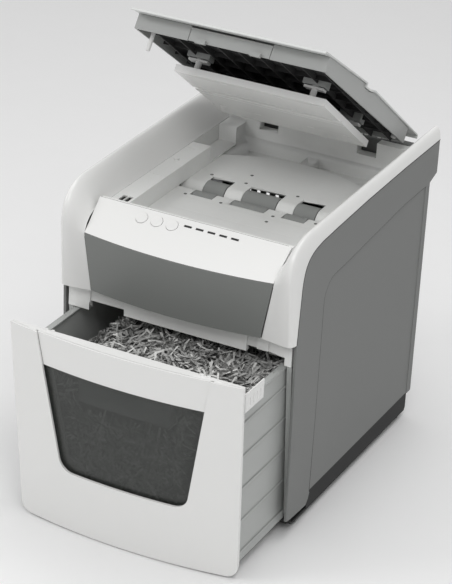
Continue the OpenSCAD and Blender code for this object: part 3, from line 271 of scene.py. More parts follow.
def finishes():
    """Every finish of the machine, by the names the operators use."""
    c = bpy.context.scene.shredder_colours
    return {
        "white": finish("white_shell", c.shell, 0.36, 0.05, 1400, 0.012, 0.05, coat=0.12),
        "bed": finish("paper_bed_white", c.bed, 0.42, 0.08, 1200, 0.015, 0.06),
        "keys": finish("white_keys", c.shell, 0.3, 0.03, 1400, 0.01, 0.05, coat=0.2),
        "grey": finish("grey_shell", c.side, 0.47, 0.35, 1500, 0.03, 0.2),
        "fascia": finish("fascia_grey", c.fascia, 0.33, 0.08, 2200, 0.03, 0.2, metallic=0.35, coat=0.2),
        "pale": finish("pale_grey", c.bin, 0.42, 0.12, 1100, 0.02, 0.12),
        "lid": finish("lid_skin", c.lid, 0.4, 0.08, 1200, 0.015, 0.08),
        "lid_grey": finish("lid_grey", c.lid_wall, 0.42, 0.15, 1100, 0.03, 0.2),
        # Black tubes laid into the gaps between parts: painted shadow of the seams.
        "seam": finish("seam_shadow", (0.02, 0.02, 0.02), 0.8, 0.05, 900, 0.05, 0.0, specular=0.1),
        # A dark finish for the tubes along the side panels' recess outline: painted shade at the recessed step.
        "line": finish("painted_recess_shade", (0.06, 0.061, 0.06), 0.6, 0.05, 900, 0.05, 0.0, specular=0.2),
        "black": finish("black_moulding", (0.012, 0.012, 0.013), 0.45, 0.3, 1300, 0.15, 0.9),
        "rubber": finish("rubber", (0.018, 0.018, 0.018), 0.75, 0.5, 1600, 0.15, 0.5),
        "roller": finish("roller_rubber", c.roller, 0.3, 0.45, 500, 0.06, 0.1, coat=0.25, stretch=(0.06, 1, 1)),
        "comb": finish("comb_plastic", (0.03, 0.03, 0.031), 0.5, 0.2, 1200, 0.1, 0.4),
        "lens": finish("lenses", (0.02, 0.02, 0.021), 0.18, 0.02, 1500, 0.1, 0.2, coat=0.5),
        "sensor": finish("sensor_windows", (0.12, 0.122, 0.12), 0.3, 0.05, 1500, 0.05, 0.1, coat=0.2),
        "print": finish("printed_marks", (0.05, 0.052, 0.052), 0.5, 0.1, 1500, 0.1, 0.0),
        "board": finish("board", (0.02, 0.12, 0.05), 0.35, 0.2, 600, 0.12, 0.2),
        "steel": finish("steel", (0.5, 0.5, 0.51), 0.32, 0.2, 900, 0.06, 0.3, metallic=1.0,
                        stretch=(0.05, 1, 1)),
        "hardened": finish("hardened_steel", (0.16, 0.16, 0.165), 0.45, 0.2, 900, 0.06, 0.3, metallic=0.9,
                           stretch=(0.05, 1, 1)),
        "bronze": finish("bronze", (0.5, 0.34, 0.14), 0.38, 0.3, 1400, 0.08, 0.3, metallic=1.0),
        "gear": finish("gear_plastic", (0.6, 0.57, 0.48), 0.4, 0.1, 1200, 0.03, 0.1),
        "window": finish("smoked_window", c.window, 0.1, 0.01, 700, 0.05, 0.1, alpha=0.46, specular=0.35),
        "pocket": finish("clear_pocket", (0.6, 0.63, 0.61), 0.16, 0.02, 700, 0.04, 0.3, alpha=0.2),
        # A bright finish for tubes along the clear pocket's edges: painted highlights standing in for its glints.
        "glint": finish("painted_pocket_glints", (0.8, 0.82, 0.8), 0.2, 0.02, 900, 0.02, 0.1, coat=0.4),
        "core": finish("packed_shreds", (0.2, 0.2, 0.195), 0.95, 0.9, 260, 0.3, 0.2, depth=0.004),
    }


# ---- meshes ----
def tidy(bm, flat=0.3):
    bmesh.ops.remove_doubles(bm, verts=bm.verts, dist=8e-6)
    if flat:
        bmesh.ops.dissolve_limit(bm, angle_limit=math.radians(flat), verts=bm.verts, edges=bm.edges)


def settle(obj, body, material, width=0.0, segments=2, angle=32):
    """Gives a piece its finish, soft edges and its body."""
    mesh = obj.data
    mesh.materials.clear()
    mesh.materials.append(material)
    mesh.polygons.foreach_set("use_smooth", [True] * len(mesh.polygons))
    mesh.set_sharp_from_angle(angle=math.radians(angle))
    if width:
        bevel = obj.modifiers.new("soft edges", "BEVEL")
        bevel.width = width / 1000
        bevel.segments = segments
        bevel.limit_method = "ANGLE"
        bevel.angle_limit = math.radians(angle)
        bevel.miter_outer = "MITER_ARC"
        bevel.harden_normals = True
    even = obj.modifiers.new("even normals", "WEIGHTED_NORMAL")
    even.keep_sharp = True
    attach(obj, body)
    return obj


def piece(name, points, faces, body, material, width=0.0, segments=2, angle=32):
    mesh = bpy.data.meshes.new(name)
    mesh.from_pydata([tuple(p) for p in points], [], faces)
    mesh.validate()
    mesh.update()
    obj = bpy.data.objects.new(name, mesh)
    bpy.context.scene.collection.objects.link(obj)
    return settle(obj, body, material, width, segments, angle)


def dress(cad, material, width=0.5, segments=2, angle=32, flat=0.0, name=None):
    """A soft-edged shell in the place of a frame node; flat faces are merged first when flat is an angle."""
    source = frame["nodes"][cad]
    bm = bmesh.new()
    bm.from_mesh(source.data)
    tidy(bm, flat)
    mesh = bpy.data.meshes.new(name or cad + "_shell")
    bm.to_mesh(mesh)
    bm.free()
    obj = bpy.data.objects.new(name or cad + "_shell", mesh)
    bpy.context.scene.collection.objects.link(obj)
    settle(obj, source["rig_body"], material, width, segments, angle)
    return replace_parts(obj, cad)


def paint(cad, material):
    """A new finish on a frame node whose shape stays."""
    obj = frame["nodes"][cad]
    if not obj.data.materials:
        obj.data.materials.append(material)
    for s in obj.material_slots:
        s.link = "OBJECT"
        s.material = material


def outline_solid(name, outline, low, high, matrix, body, material, width=0.0):
    """A flat outline in millimetres given thickness from low to high, then placed."""
    n = len(outline)
    points = [matrix @ Vector((x / 1000, y / 1000, z / 1000)) for z in (low, high) for x, y in outline]
    faces = [tuple(range(n - 1, -1, -1)), tuple(range(n, 2 * n))]
    faces += [(i, (i + 1) % n, n + (i + 1) % n, n + i) for i in range(n)]
    return piece(name, points, faces, body, material, width)


def ring_arc(inner, outer, start, end, steps=48):
    """Outline of a ring's arc, angles in degrees."""
    angles = [math.radians(start + (end - start) * i / steps) for i in range(steps + 1)]
    return [(outer * math.cos(a), outer * math.sin(a)) for a in angles] + [
        (inner * math.cos(a), inner * math.sin(a)) for a in reversed(angles)
    ]


def lathe(name, profile, matrix, body, material, steps=48, width=0.0):
    """A turned piece: profile of (radius, height) in millimetres, turned about its own Z."""
    points, faces = [], []
    for i in range(steps):
        a = 2 * math.pi * i / steps
        points += [matrix @ Vector((r * math.cos(a) / 1000, r * math.sin(a) / 1000, z / 1000)) for r, z in profile]
    n = len(profile)
    for i in range(steps):
        j = (i + 1) % steps
        faces += [(i * n + k, j * n + k, j * n + k + 1, i * n + k + 1) for k in range(n - 1)]
    faces.append(tuple(i * n for i in reversed(range(steps))))
    faces.append(tuple(i * n + n - 1 for i in range(steps)))
    return piece(name, points, faces, body, material, width)


def tube(name, route, radius, body, material, sides=10):
    """A round wire along a route of points in metres."""
    points, faces = [], []
    side = Vector((0, 0, 1))
    for i, p in enumerate(route):
        ahead = (route[min(i + 1, len(route) - 1)] - route[max(i - 1, 0)]).normalized()
        side = (side - ahead * side.dot(ahead)).normalized()
        other = ahead.cross(side)
        for k in range(sides):
            a = 2 * math.pi * k / sides
            points.append(p + (side * math.cos(a) + other * math.sin(a)) * radius / 1000)
    for i in range(len(route) - 1):
        for k in range(sides):
            j = (k + 1) % sides
            faces.append((i * sides + k, i * sides + j, (i + 1) * sides + j, (i + 1) * sides + k))
    faces.append(tuple(reversed(range(sides))))
    faces.append(tuple((len(route) - 1) * sides + k for k in range(sides)))
    return piece(name, points, faces, body, material, angle=60)


def screw(name, matrix, radius, body, material):
    """A domed screw head, standing on its own Z."""
    lathe(name, [(radius, 0), (radius, 0.4), (radius * 0.86, 0.9), (radius * 0.5, 1.15), (0.05, 1.2)],
          matrix, body, material, 24)


# ---- operators ----
class Sizes(bpy.types.PropertyGroup):
    """Sizes of the soft details."""

    shell_round: FloatProperty(name="Shell edge", description="Edge rounding of the outer shells, in millimetres", default=0.7, min=0.1, max=2)
    fine_round: FloatProperty(name="Fine edge", description="Edge rounding of the small mouldings, in millimetres", default=0.35, min=0.05, max=1)
    band_wall: FloatProperty(name="Band wall", description="Thickness of the side bands, in millimetres", default=3.0, min=1, max=5)
    strip_width: FloatProperty(name="Strip width", description="Width of a cut strip, in millimetres", default=2.7, min=2, max=6)
    strip_length: FloatProperty(name="Strip length", description="Longest cut strip, in millimetres", default=38.0, min=10, max=60)
    strip_count: IntProperty(name="Strips", description="Number of cut strips on the heap", default=4200, min=200, max=9000)
    spring_turns: IntProperty(name="Spring turns", description="Turns of each plate spring", default=5, min=3, max=12)
    lens: FloatProperty(name="Lens", description="Focal length of the camera", default=152.05, min=20, max=300, unit="CAMERA")


def colour(name, description, default):
    return FloatVectorProperty(name=name, description=description, subtype="COLOR", size=3, min=0, max=1, default=default)


class Colours(bpy.types.PropertyGroup):
    """Colours of the finishes."""

    shell: colour("Shell", "White outer shells", (0.72, 0.722, 0.708))
    bed: colour("Paper bed", "Off-white paper bed and head", (0.78, 0.785, 0.77))
    side: colour("Side panels", "Grey side panels", (0.165, 0.17, 0.166))
    fascia: colour("Fascia", "Satin grey front", (0.19, 0.195, 0.19))
    bin: colour("Bin", "Pale grey bin box and bay walls", (0.56, 0.57, 0.56))
    lid: colour("Lid", "Outer skin of the lid", (0.6, 0.605, 0.6))
    lid_wall: colour("Lid walls", "Grey walls inside the lid", (0.1, 0.103, 0.1))
    roller: colour("Rollers", "Grey feed rollers", (0.19, 0.195, 0.19))
    window: colour("Window", "Smoked window", (0.012, 0.013, 0.012))
    paper: colour("Cut paper", "Cut paper", (0.43, 0.43, 0.42))
    floor: colour("Floor", "Plain floor", (0.9, 0.9, 0.9))


class SHREDDER_OT_side_bands(bpy.types.Operator):
    """The two white bands that sweep from the front foot over the shoulder to the rear"""

    bl_idname = "shredder.side_bands"
    bl_label = "Side bands"

    def execute(self, context):
        sizes = context.scene.shredder_sizes
        white = finishes()["white"]
        foot, crown_z = FOOT_Z + 0.4, SEAM_Z + CROWN_RISE
        crown_x, inner_x = HALF_W - 7, HALF_W - 29.5
        stations = [(0, i / 8) for i in range(8)] + [(1, i / 60) for i in range(60)]
        stations += [(2, i / 24) for i in range(25)]

        def along(first, a, b, c, d, rear, station):
            part, t = station
            if part == 0:
                return mix(first, a, t)
            return curve(a, b, c, d, t) if part == 1 else mix(d, rear, t)

        def rings(station):
            seam = along((0, foot - 0.3), (5, 347), (8, 380), (20, SEAM_Z - 11), (59, SEAM_Z - 7.4), (BODY_D, SEAM_Z), station)
            seam = (seam[0], (seam_top(seam[0]) if station[0] == 2 else seam[1]) + 0.3)
            crown = along((-11.5, foot), (-18, 362), (-20, crown_z - 24), (-3, crown_z - 8), (30, crown_z - 5), (BODY_D, crown_z), station)
            edge = along((-7, foot), (-7.7, FASCIA_TOP - 2), (-2, 368), (12, RAIL_TOP + 2), (44, RAIL_TOP), (BODY_D, RAIL_TOP), station)
            lip = v_half(edge[1]) if station[0] == 0 else min(inner_x, v_half(FASCIA_TOP - 2) + (edge[0] + 7.7) * 0.1)
            outer = []
            for i in range(41):
                k = 0.25 * i / 14 if i <= 14 else 0.25 + 0.75 * (i - 14) / 26
                if k < 0.25:
                    yz = mix(seam, crown, math.sin(2 * math.pi * k))
                    x = HALF_W + (crown_x - HALF_W) * (1 - math.cos(2 * math.pi * k))
                else:
                    yz = mix(edge, crown, max(0.0, math.cos(math.radians((k - 0.25) * 120))) ** 1.3)
                    x = crown_x + (lip - crown_x) * (k - 0.25) / 0.75
                outer.append(Vector((x, yz[0], yz[1])))
            low = mix(seam, crown, 0.1)
            on_foot = station[0] == 0
            core = Vector((crown_x - 9, min(BODY_D, low[0] + (12 if on_foot else 4)), low[1] - (0 if on_foot else 8)))
            inner = [p + (core - p).normalized() * sizes.band_wall for p in reversed(outer[1:])]
            return outer + inner + [outer[0] - Vector((4.1, 0, 0))]

        loops = [rings(s) for s in stations]
        n = len(loops[0])
        for side, name in ((-1, "side_band_left"), (1, "side_band_right")):
            points = [at(side * p.x, p.y, p.z) for loop in loops for p in loop]
            faces = []
            for s in range(len(loops) - 1):
                for i in range(n):
                    j = (i + 1) % n
                    faces.append((s * n + i, s * n + j, (s + 1) * n + j, (s + 1) * n + i))
            last = (len(loops) - 1) * n
            for i in range(n // 2 - 1):
                faces.append((i, n - 1 - i, n - 2 - i, i + 1))
                faces.append((last + i, last + i + 1, last + n - 2 - i, last + n - 1 - i))
            if side < 0:
                faces = [tuple(reversed(f)) for f in faces]
            band = piece(name + "_shell", points, faces, "root", white, sizes.shell_round, 3, 40)
            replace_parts(band, name)
            # A black tube along the seam of each band and side panel: painted shadow in the gap.
            seam = [at(side * (HALF_W - 0.2), loop[0].y, loop[0].z - 0.15) for loop in loops]
            tube(name + "_seam", seam, 0.6, "root", finishes()["seam"], 6)
        return {"FINISHED"}


class SHREDDER_OT_covers(bpy.types.Operator):
    """Grey side panels, rear cover with its louvres, and the satin fascia, with dark tubes painted as shade along the
    side recesses and the fascia's edges
    """

    bl_idname = "shredder.covers"
    bl_label = "Covers"

    def execute(self, context):
        sizes = context.scene.shredder_sizes
        f = finishes()
        for name in ("side_panel_left", "side_panel_right"):
            dress(name, f["grey"], sizes.shell_round, 3)
        dress("rear_cover", f["grey"], 0.0)
        dress("front_fascia", f["fascia"], 0.5, 3)
        bend = [math.radians(a) for a in range(100, 181, 10)]
        recess = [(376, 347), (306, 347), (182, 338), (127, 334)]
        recess += [(102 + 30 * math.cos(a), 303 + 30 * math.sin(a)) for a in bend] + [(72, 230), (72, 143), (70.5, 41)]
        # The dark tube along each side panel's recess outline is painted shade, standing in for the shadow at the
        # recess's step.
        for side, name in ((-1, "recess_line_left"), (1, "recess_line_right")):
            tube(name, [at(side * (HALF_W - 0.5), y, z) for y, z in recess], 0.5, "root", f["line"], 6)
            # A black tube up each V edge of the fascia: painted shadow in the gap beside the band.
            edge = [at(side * (v_half(z) + 0.1), -7.5, z) for z in range(279, 354, 5)]
            tube(name.replace("recess_line", "fascia_seam"), edge, 0.45, "root", f["seam"], 6)
        for i, (x, z) in enumerate([(x, z) for x in (-146.2, 146.2) for z in (56, 330)]):
            turned = Matrix.Translation(at(x, BODY_D - 24.4, z)) @ Matrix.Rotation(-math.pi / 2, 4, "X")
            screw(f"cover_screw_{i + 1}", turned, 2.0, "root", f["steel"])
        return {"FINISHED"}


class SHREDDER_OT_control_panel(bpy.types.Operator):
    """Sloping control panel with three round keys, their marks and five lenses"""

    bl_idname = "shredder.control_panel"
    bl_label = "Control panel"

    def glyph(self, name, outline, x, y, lift, body, thick=0.08):
        outline_solid(name, outline, 0, thick, slope_matrix(x, y, lift), body, finishes()["print"])

    def execute(self, context):
        f = finishes()
        dress("control_panel", f["white"], 0.4, 2, 40)
        # A black tube under the panel's front edge: painted shadow in the gap between panel and fascia.
        edge = [at(x, panel_front(x) + 0.45, FASCIA_TOP + 0.15) for x in range(-129, 130, 3)]
        tube("panel_seam", edge, 0.45, "root", f["seam"], 6)
        dress("status_lenses", f["lens"], 0.25)
        paint("control_board", f["board"])
        for x, key in KEYS:
            dress(key, f["keys"], 0.5, 3)
            self.glyph(key + "_ring", ring_arc(6.6, 7.1, 0, 359.5, 72), x, KEY_Y, 0.7, key)
        top = 0.7
        self.glyph("power_mark_arc", ring_arc(2.9, 3.6, 130, 410), -66, KEY_Y, top, "power_key")
        self.glyph("power_mark_bar", [(-0.36, 0.9), (0.36, 0.9), (0.36, 4.6), (-0.36, 4.6)], -66, KEY_Y, top, "power_key")
        for x, key, way in ((-45, "reverse_key", 1), (-24, "forward_key", -1)):
            shaft = [(-0.4, way * -1.0), (0.4, way * -1.0), (0.4, way * 4.2), (-0.4, way * 4.2)]
            head = [(-2.4, way * -0.8), (2.4, way * -0.8), (0, way * -4.3)]
            if way < 0:
                shaft.reverse()
            else:
                head.reverse()
            self.glyph(key + "_shaft", shaft, x, KEY_Y, top, key)
            self.glyph(key + "_arrow", head, x, KEY_Y, top, key)
        marks = (
            [[(-0.5, -2.2), (0.5, -2.2), (0.5, 2.2), (-0.5, 2.2)]],
            [[(-2.2, -1.8), (2.2, -1.8), (0, 2.1)]],
            [[(-2.2, -1.5), (2.2, -1.5), (2.2, -0.6), (-2.2, -0.6)], [(-2.2, 0.6), (2.2, 0.6), (2.2, 1.5), (-2.2, 1.5)]],
            [ring_arc(1.3, 2.1, 0, 359, 24)],
            [[(-2, -2), (2, -2), (2, 2), (-2, 2)]],
        )
        for i, (x, shapes) in enumerate(zip(LENS_X, marks)):
            for k, shape in enumerate(shapes):
                self.glyph(f"lens_mark_{i + 1}_{k + 1}", shape, x, LENS_Y - 5.0, 0.02, "root", 0.06)
        return {"FINISHED"}


class SHREDDER_OT_paper_bed(bpy.types.Operator):
    """Paper tray, rear deck, paper rail, sensors and feed rollers"""

    bl_idname = "shredder.paper_bed"
    bl_label = "Paper bed"

    def execute(self, context):
        sizes = context.scene.shredder_sizes
        f = finishes()
        for name, width in (("paper_tray", 0.0), ("rear_deck", 0.0), ("paper_rail", sizes.fine_round)):
            dress(name, f["bed"], width)
        # A black tube along the panel's rear edge: painted shadow in the gap between panel and tray.
        rear_edge = [at(x, PANEL_REAR_Y + 0.5, PANEL_REAR_Z - 0.6) for x in range(-131, 132, 6)]
        tube("panel_rear_seam", rear_edge, 0.5, "root", f["seam"], 6)
        wall = [(-352, 352.6), (-278.4, 352.6), (-278.4, 374), (-352, 374)]
        points = [at(x, -y, z) for x in (-133.4, -132.2) for y, z in wall]
        faces = [(0, 1, 2, 3), (7, 6, 5, 4), (0, 4, 5, 1), (1, 5, 6, 2), (2, 6, 7, 3), (3, 7, 4, 0)]
        piece("recess_wall", points, faces, "root", f["bed"])
        dress("rail_plunger", f["keys"], 0.5, 3)
        dress("paper_sensors", f["sensor"], 0.0)
        dress("front_feed_roller", f["roller"], 0.6, 2)
        dress("rear_feed_roller", f["roller"], 0.6, 2)
        dress("hinge_brackets", f["bed"], 0.4)
        dress("hinge_pins", f["steel"], 0.3)
        paint("interlock_switch", f["black"])
        return {"FINISHED"}


class SHREDDER_OT_head(bpy.types.Operator):
    """Beam across the front, cutter rolls, gears, motor and boards inside the head"""

    bl_idname = "shredder.head"
    bl_label = "Cutter head"

    def execute(self, context):
        f = finishes()
        dress("head_beam", f["bed"], 0.0)
        for name in ("cutter_side_plates", "tie_rods", "gear_axles", "motor_rotor"):
            paint(name, f["steel"])
        for name in ("front_cutter", "rear_cutter", "front_cutter_gear", "rear_cutter_gears"):
            paint(name, f["hardened"])
        for name in ("idler_gear", "transfer_gear"):
            paint(name, f["gear"])
        paint("stripper_combs", f["comb"])
        paint("cutter_bushes", f["bronze"])
        paint("drive_motor", f["black"])
        paint("power_board", f["board"])
        return {"FINISHED"}


class SHREDDER_OT_base(bpy.types.Operator):
    """Base tray, feet, bay walls, mains inlet and rocker switch"""

    bl_idname = "shredder.base"
    bl_label = "Base"

    def execute(self, context):
        f = finishes()
        dress("base_tray", f["black"], 0.6)
        dress("rubber_feet", f["rubber"], 0.4)
        for name in ("bay_wall_left", "bay_wall_right"):
            dress(name, f["pale"], 0.7, 3)
        dress("mains_inlet", f["black"], 0.4)
        dress("rocker_switch", f["lens"], 0.4)
        return {"FINISHED"}


class SHREDDER_OT_bin_front(bpy.types.Operator):
    """Curved bin front with its inset band, smoked window, finger pocket and rim, with light tubes painted as
    highlights along the pocket's edges
    """

    bl_idname = "shredder.bin_front"
    bl_label = "Bin front"

    def execute(self, context):
        sizes = context.scene.shredder_sizes
        f = finishes()
        dress("bin_front", f["white"], sizes.shell_round, 3)
        dress("bin_inset_band", f["white"], 0.5, 3)
        dress("bin_window", f["window"], 0.3)
        dress("bin_grip_pocket", f["pocket"], 0.5)
        dress("bin_inner_panel", f["white"], 0.0)
        low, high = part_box("bin_grip_pocket")
        x0, x1, rear, z0 = low.x * 1000 + 1, high.x * 1000 - 1, (high.y - FRONT) * 1000 - 2.5, low.z * 1000 + 1.5
        top = (high.z * 1000) - 4
        across = [x0 + (x1 - x0) * k / 12 for k in range(13)]
        # Bright tubes along the pocket's edges and across its foot are painted highlights: they stand in for the
        # glints of the clear pocket.
        for i, route in enumerate((
            [(x0, rear, top), (x0, rear, z0), (x1, rear, z0), (x1, rear, top)],
            [(x0, skin_y(x0, top, 9), top), (x0, skin_y(x0, z0, 9), z0), (x0, rear, z0)],
            [(x1, skin_y(x1, top, 9), top), (x1, skin_y(x1, z0, 9), z0), (x1, rear, z0)],
            [(x, skin_y(x, z0, 9), z0) for x in across],
            [(x, skin_y(x, z0 + 14, 12), z0 + 14) for x in across[1:-1]],
        )):
            tube(f"painted_pocket_glint_{i + 1}", [at(*p) for p in route], 0.55, "bin", f["glint"], 6)
        return {"FINISHED"}


class SHREDDER_OT_bin_box(bpy.types.Operator):
    """The ribbed box of the bin"""

    bl_idname = "shredder.bin_box"
    bl_label = "Bin box"

    def execute(self, context):
        dress("bin_body", finishes()["pale"], 0.0)
        return {"FINISHED"}


class SHREDDER_OT_cut_paper(bpy.types.Operator):
    """A heap of curled cut strips over a packed core"""

    bl_idname = "shredder.cut_paper"
    bl_label = "Cut paper"

    profile = ((-132, 238), (-70, 240), (-5, 241), (45, 236), (100, 205), (172, 160))

    def top(self, x, y):
        z = self.profile[-1][1]
        for (y0, z0), (y1, z1) in zip(self.profile, self.profile[1:]):
            if y <= y1:
                z = z0 + (z1 - z0) * max(0.0, (y - y0) / (y1 - y0))
                break
        lump = noise.noise(Vector((x * 0.025, y * 0.025, 1.7)))
        z -= min(62.0, max(0.0, -74 - 14 * math.sin((y + 20) * 0.055) - x) * 1.05)
        return z - 5 + 6 * lump + 4 * math.exp(-((x - 10) / 80) ** 2 - ((y + 50) / 45) ** 2)

    def core(self, f):
        points, faces = [], []
        nx, ny = 46, 44
        for i in range(ny + 1):
            for k in range(nx + 1):
                x = -141 + 282 * k / nx
                y = -112 + 278 * i / ny
                z = self.top(x, y) - 7 + 2.5 * noise.noise(Vector((x * 0.11, y * 0.11, 4)))
                points.append(at(x, max(y, lean_y(z, 13)), z))
        for i in range(ny):
            for k in range(nx):
                a = i * (nx + 1) + k
                faces.append((a, a + 1, a + nx + 2, a + nx + 1))
        rim = [k for k in range(nx + 1)] + [(i + 1) * (nx + 1) + nx for i in range(ny)]
        rim += [ny * (nx + 1) + k for k in range(nx - 1, -1, -1)] + [i * (nx + 1) for i in range(ny - 1, 0, -1)]
        start = len(points)
        for r in rim:
            p = points[r]
            low = 24 / 1000
            y = p.y if p.y > FRONT else FRONT + lean_y(24, 14) / 1000
            points.append(Vector((p.x, y, low)))
        n = len(rim)
        for i in range(n):
            j = (i + 1) % n
            faces.append((rim[j], rim[i], start + i, start + j))
        faces.append(tuple(start + i for i in range(n - 1, -1, -1)))
        heap = piece("packed_shreds", points, faces, "bin", f["core"], angle=60)
        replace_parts(heap, "shred_heap")

    def strip(self, rng, centre, along, up, length, width, points, faces, shades, window=False):
        across = along.cross(up).normalized()
        bend, twist, n = rng.uniform(-0.3, 0.3), rng.uniform(-1.3, 1.3), 5
        start, shade = len(points), rng.choice((0.35, 0.55, 0.75, 0.95, 1.2, 1.6)) + rng.uniform(-0.08, 0.08)
        for i in range(n + 1):
            t = i / n - 0.5
            p = centre + along * (length * t) + up * (bend * length * (4 * t * t - 0.3))
            w = (across * math.cos(twist * t) + up * math.sin(twist * t)) * width / 2
            for q in (p - w, p + w):
                z = min(q.z, 246.5, self.top(q.x, q.y) + 9)
                near = skin_y(q.x, z, 8.5) if window else lean_y(z, 9.6 if z < 190 else 22.5)
                y = min(max(q.y, near), 168)
                points.append(at(min(max(q.x, -142.8), 142.8), y, max(z, 24)))
                shades.append(shade)
        faces += [(start + 2 * i, start + 2 * i + 1, start + 2 * i + 3, start + 2 * i + 2) for i in range(n)]

    def execute(self, context):
        sizes = context.scene.shredder_sizes
        f = finishes()
        self.core(f)
        rng = random.Random(11)
        paper = paper_finish(context.scene.shredder_colours.paper)
        for name, count in (("loose_strips", sizes.strip_count), ("strips_behind_window", sizes.strip_count // 3)):
            points, faces, shades = [], [], []
            # Strips behind the smoked window get a lighter shade than the rest: painted light, so they show through
            # the dark glass.
            lift = 0.0 if name == "loose_strips" else 0.2
            for _ in range(count):
                length = rng.uniform(0.3, 1.0) * sizes.strip_length
                a = rng.uniform(0, 2 * math.pi)
                if name == "loose_strips":
                    x, y = rng.uniform(-140, 140), -108 + 270 * rng.random() ** 1.5
                    deep = rng.random() ** 1.6 * 9
                    along = Vector((math.cos(a), math.sin(a), rng.uniform(-0.35, 0.35))).normalized()
                    up = (Vector((0, 0, 1)) + Vector([rng.uniform(-0.6, 0.6) for _ in range(3)])).normalized()
                    centre = Vector((x, y, self.top(x, y) + 2.5 - deep))
                else:
                    z = rng.uniform(84, 236)
                    x = rng.uniform(-1, 1) * (v_half(z) - 22)
                    along = Vector((math.cos(a), rng.uniform(-0.15, 0.15), math.sin(a))).normalized()
                    up = (Vector((0, -1, 0)) + Vector([rng.uniform(-0.3, 0.3) for _ in range(3)])).normalized()
                    if z > 176 and abs(x) < 72:
                        z = 84 + (z - 84) * 0.58
                    centre = Vector((x, skin_y(x, z, 9.6 + rng.random() * 5), z))
                self.strip(rng, centre, along, up, length, sizes.strip_width * rng.uniform(0.8, 1.15), points, faces, shades, lift > 0)
            heap = piece(name, points, faces, "bin", paper, angle=60)
            heap.data.attributes.new("shade", "FLOAT", "POINT").data.foreach_set("value", [s + lift for s in shades])
            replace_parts(heap, "shred_heap")
        return {"FINISHED"}


class SHREDDER_OT_lid(bpy.types.Operator):
    """The open lid: outer skin, grey walls, ribbed black liner, arms and catch"""

    bl_idname = "shredder.lid"
    bl_label = "Lid"

    def execute(self, context):
        sizes = context.scene.shredder_sizes
        f = finishes()
        dress("lid_skin", f["lid"], sizes.shell_round, 3)
        dress("lid_frame", f["lid_grey"], 0.0)
        dress("lid_liner", f["black"], 0.0)
        dress("lid_hinge_arms", f["bed"], 0.6, 3)
        dress("lid_catch", f["lid_grey"], 0.5)
        dress("interlock_pin", f["keys"], 0.5, 3)
        # A black tube along the lid's edge: painted shadow in the lid's seam.
        edge = [on_lid(x, 48.7, 395.9) for x in range(-126, 127, 6)]
        tube("lid_seam", edge, 0.5, "lid", f["seam"], 6)
        for i, (x, y) in enumerate([(x, y) for x in (-117, 117) for y in (57, 362)]):
            lathe(f"corner_knob_{i + 1}", [(3.6, -1.5), (3.6, 4.2), (2.8, 5.2), (0.05, 5.6)],
                  lid_matrix(x, y, 390.9) @ Matrix.Rotation(math.pi, 4, "X"), "lid", f["keys"], 24)
        for i, (x, y) in enumerate([(x, y) for x in (-104, 0, 104) for y in (66, 340)]):
            turned = lid_matrix(x, y, 390.9) @ Matrix.Rotation(math.pi, 4, "X")
            screw(f"liner_screw_{i + 1}", turned, 2.8, "lid", f["steel"])
        return {"FINISHED"}


class SHREDDER_OT_plate(bpy.types.Operator):
    """The sprung pressure plate with its stems, housings and coil springs"""

    bl_idname = "shredder.plate"
    bl_label = "Pressure plate"

    def execute(self, context):
        sizes = context.scene.shredder_sizes
        f = finishes()
        dress("pressure_plate", f["white"], 0.0)
        dress("plate_stems", f["keys"], 0.5, 3)
        dress("post_housings", f["lid_grey"], 0.4)
        low, high, steps = 380.3, 397.2, 22
        coils = []
        for i, (x, y) in enumerate(POSTS):
            route = []
            for k in range(sizes.spring_turns * steps + 1):
                a = 2 * math.pi * k / steps
                z = low + (high - low) * k / (sizes.spring_turns * steps)
                route.append(on_lid(x + 5.4 * math.cos(a), y + 5.4 * math.sin(a), z))
            coils.append(tube(f"plate_spring_{i + 1}", route, 0.6, "lid", f["steel"], 8))
        for coil in coils:
            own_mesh(coil)
        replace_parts(coils[0], "plate_springs")
        return {"FINISHED"}


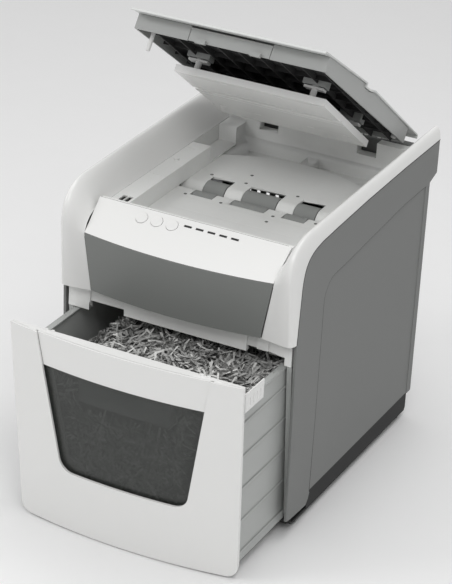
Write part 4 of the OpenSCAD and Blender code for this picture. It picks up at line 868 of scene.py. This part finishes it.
class SHREDDER_OT_stage(bpy.types.Operator):
    """Plain floor, soft lights and the camera"""

    bl_idname = "shredder.stage"
    bl_label = "Stage"

    def lamp(self, name, where, aim, size, power):
        data = bpy.data.lights.new(name, "AREA")
        data.shape = "DISK"
        data.size = size
        data.energy = power
        obj = bpy.data.objects.new(name, data)
        obj.location = where
        obj.rotation_euler = (Vector(aim) - Vector(where)).to_track_quat("-Z", "Y").to_euler()
        bpy.context.scene.collection.objects.link(obj)

    def execute(self, context):
        scene = context.scene
        mesh = bpy.data.meshes.new("floor")
        mesh.from_pydata([(-9, -9, 0), (9, -9, 0), (9, 9, 0), (-9, 9, 0)], [], [(0, 1, 2, 3)])
        floor = bpy.data.objects.new("floor", mesh)
        mesh.materials.append(finish("floor_paint", scene.shredder_colours.floor, 0.6, 0.02, 300, 0.004, 0.0, specular=0.2))
        scene.collection.objects.link(floor)
        world = bpy.data.worlds.new("studio")
        scene.world = world
        world.use_nodes = True
        back = world.node_tree.nodes["Background"]
        back.inputs["Color"].default_value = (1, 1, 1, 1)
        back.inputs["Strength"].default_value = 0.54
        self.lamp("key_light", (-1.9, -1.9, 2.3), (0, -0.1, 0.3), 1.2, 17)
        self.lamp("top_light", (0.2, 0.1, 2.6), (0, 0, 0.3), 1.6, 19)
        self.lamp("fill_light", (1.3, -2.0, 2.7), (-0.1, -0.05, 0.3), 1.2, 19)
        data = bpy.data.cameras.new("camera")
        data.lens = scene.shredder_sizes.lens
        data.sensor_fit = "AUTO"
        data.sensor_width = 36
        data.clip_end = 50
        camera = bpy.data.objects.new("camera", data)
        az, el, roll = math.radians(26.006), math.radians(26.212), math.radians(3.28)
        back_way = Vector((math.sin(az) * math.cos(el), -math.cos(az) * math.cos(el), math.sin(el)))
        right = Vector((math.cos(az), math.sin(az), 0))
        up = back_way.cross(right)
        turned_right = right * math.cos(roll) + up * math.sin(roll)
        turned_up = up * math.cos(roll) - right * math.sin(roll)
        rows = Matrix((turned_right, turned_up, back_way)).transposed().to_4x4()
        camera.matrix_world = Matrix.Translation((1.230496, FRONT - 2.391178, 1.632081)) @ rows
        scene.collection.objects.link(camera)
        scene.camera = camera
        scene.view_settings.view_transform = "Standard"
        return {"FINISHED"}


class SHREDDER_PT_panel(bpy.types.Panel):
    """Everything that builds the shredder's finish"""

    bl_label = "Paper shredder"
    bl_idname = "SHREDDER_PT_panel"
    bl_space_type = "VIEW_3D"
    bl_region_type = "UI"
    bl_category = "Shredder"

    def draw(self, context):
        for group in (context.scene.shredder_sizes, context.scene.shredder_colours):
            box = self.layout.box()
            for key in group.__annotations__:
                box.prop(group, key)
        for operator in OPERATORS:
            self.layout.operator(operator.bl_idname)


OPERATORS = (
    SHREDDER_OT_side_bands, SHREDDER_OT_covers, SHREDDER_OT_control_panel, SHREDDER_OT_paper_bed,
    SHREDDER_OT_head, SHREDDER_OT_base, SHREDDER_OT_bin_front, SHREDDER_OT_bin_box, SHREDDER_OT_cut_paper,
    SHREDDER_OT_lid, SHREDDER_OT_plate, SHREDDER_OT_stage,
)
CLASSES = (Sizes, Colours, *OPERATORS, SHREDDER_PT_panel)


def register():
    for c in CLASSES:
        bpy.utils.register_class(c)
    bpy.types.Scene.shredder_sizes = PointerProperty(type=Sizes)
    bpy.types.Scene.shredder_colours = PointerProperty(type=Colours)


def unregister():
    del bpy.types.Scene.shredder_colours
    del bpy.types.Scene.shredder_sizes
    for c in reversed(CLASSES):
        bpy.utils.unregister_class(c)


def main():
    register()
    for operator in OPERATORS:
        group, name = operator.bl_idname.split(".")
        getattr(getattr(bpy.ops, group), name)()
    bpy.context.view_layer.update()


if __name__ == "__main__":
    main()
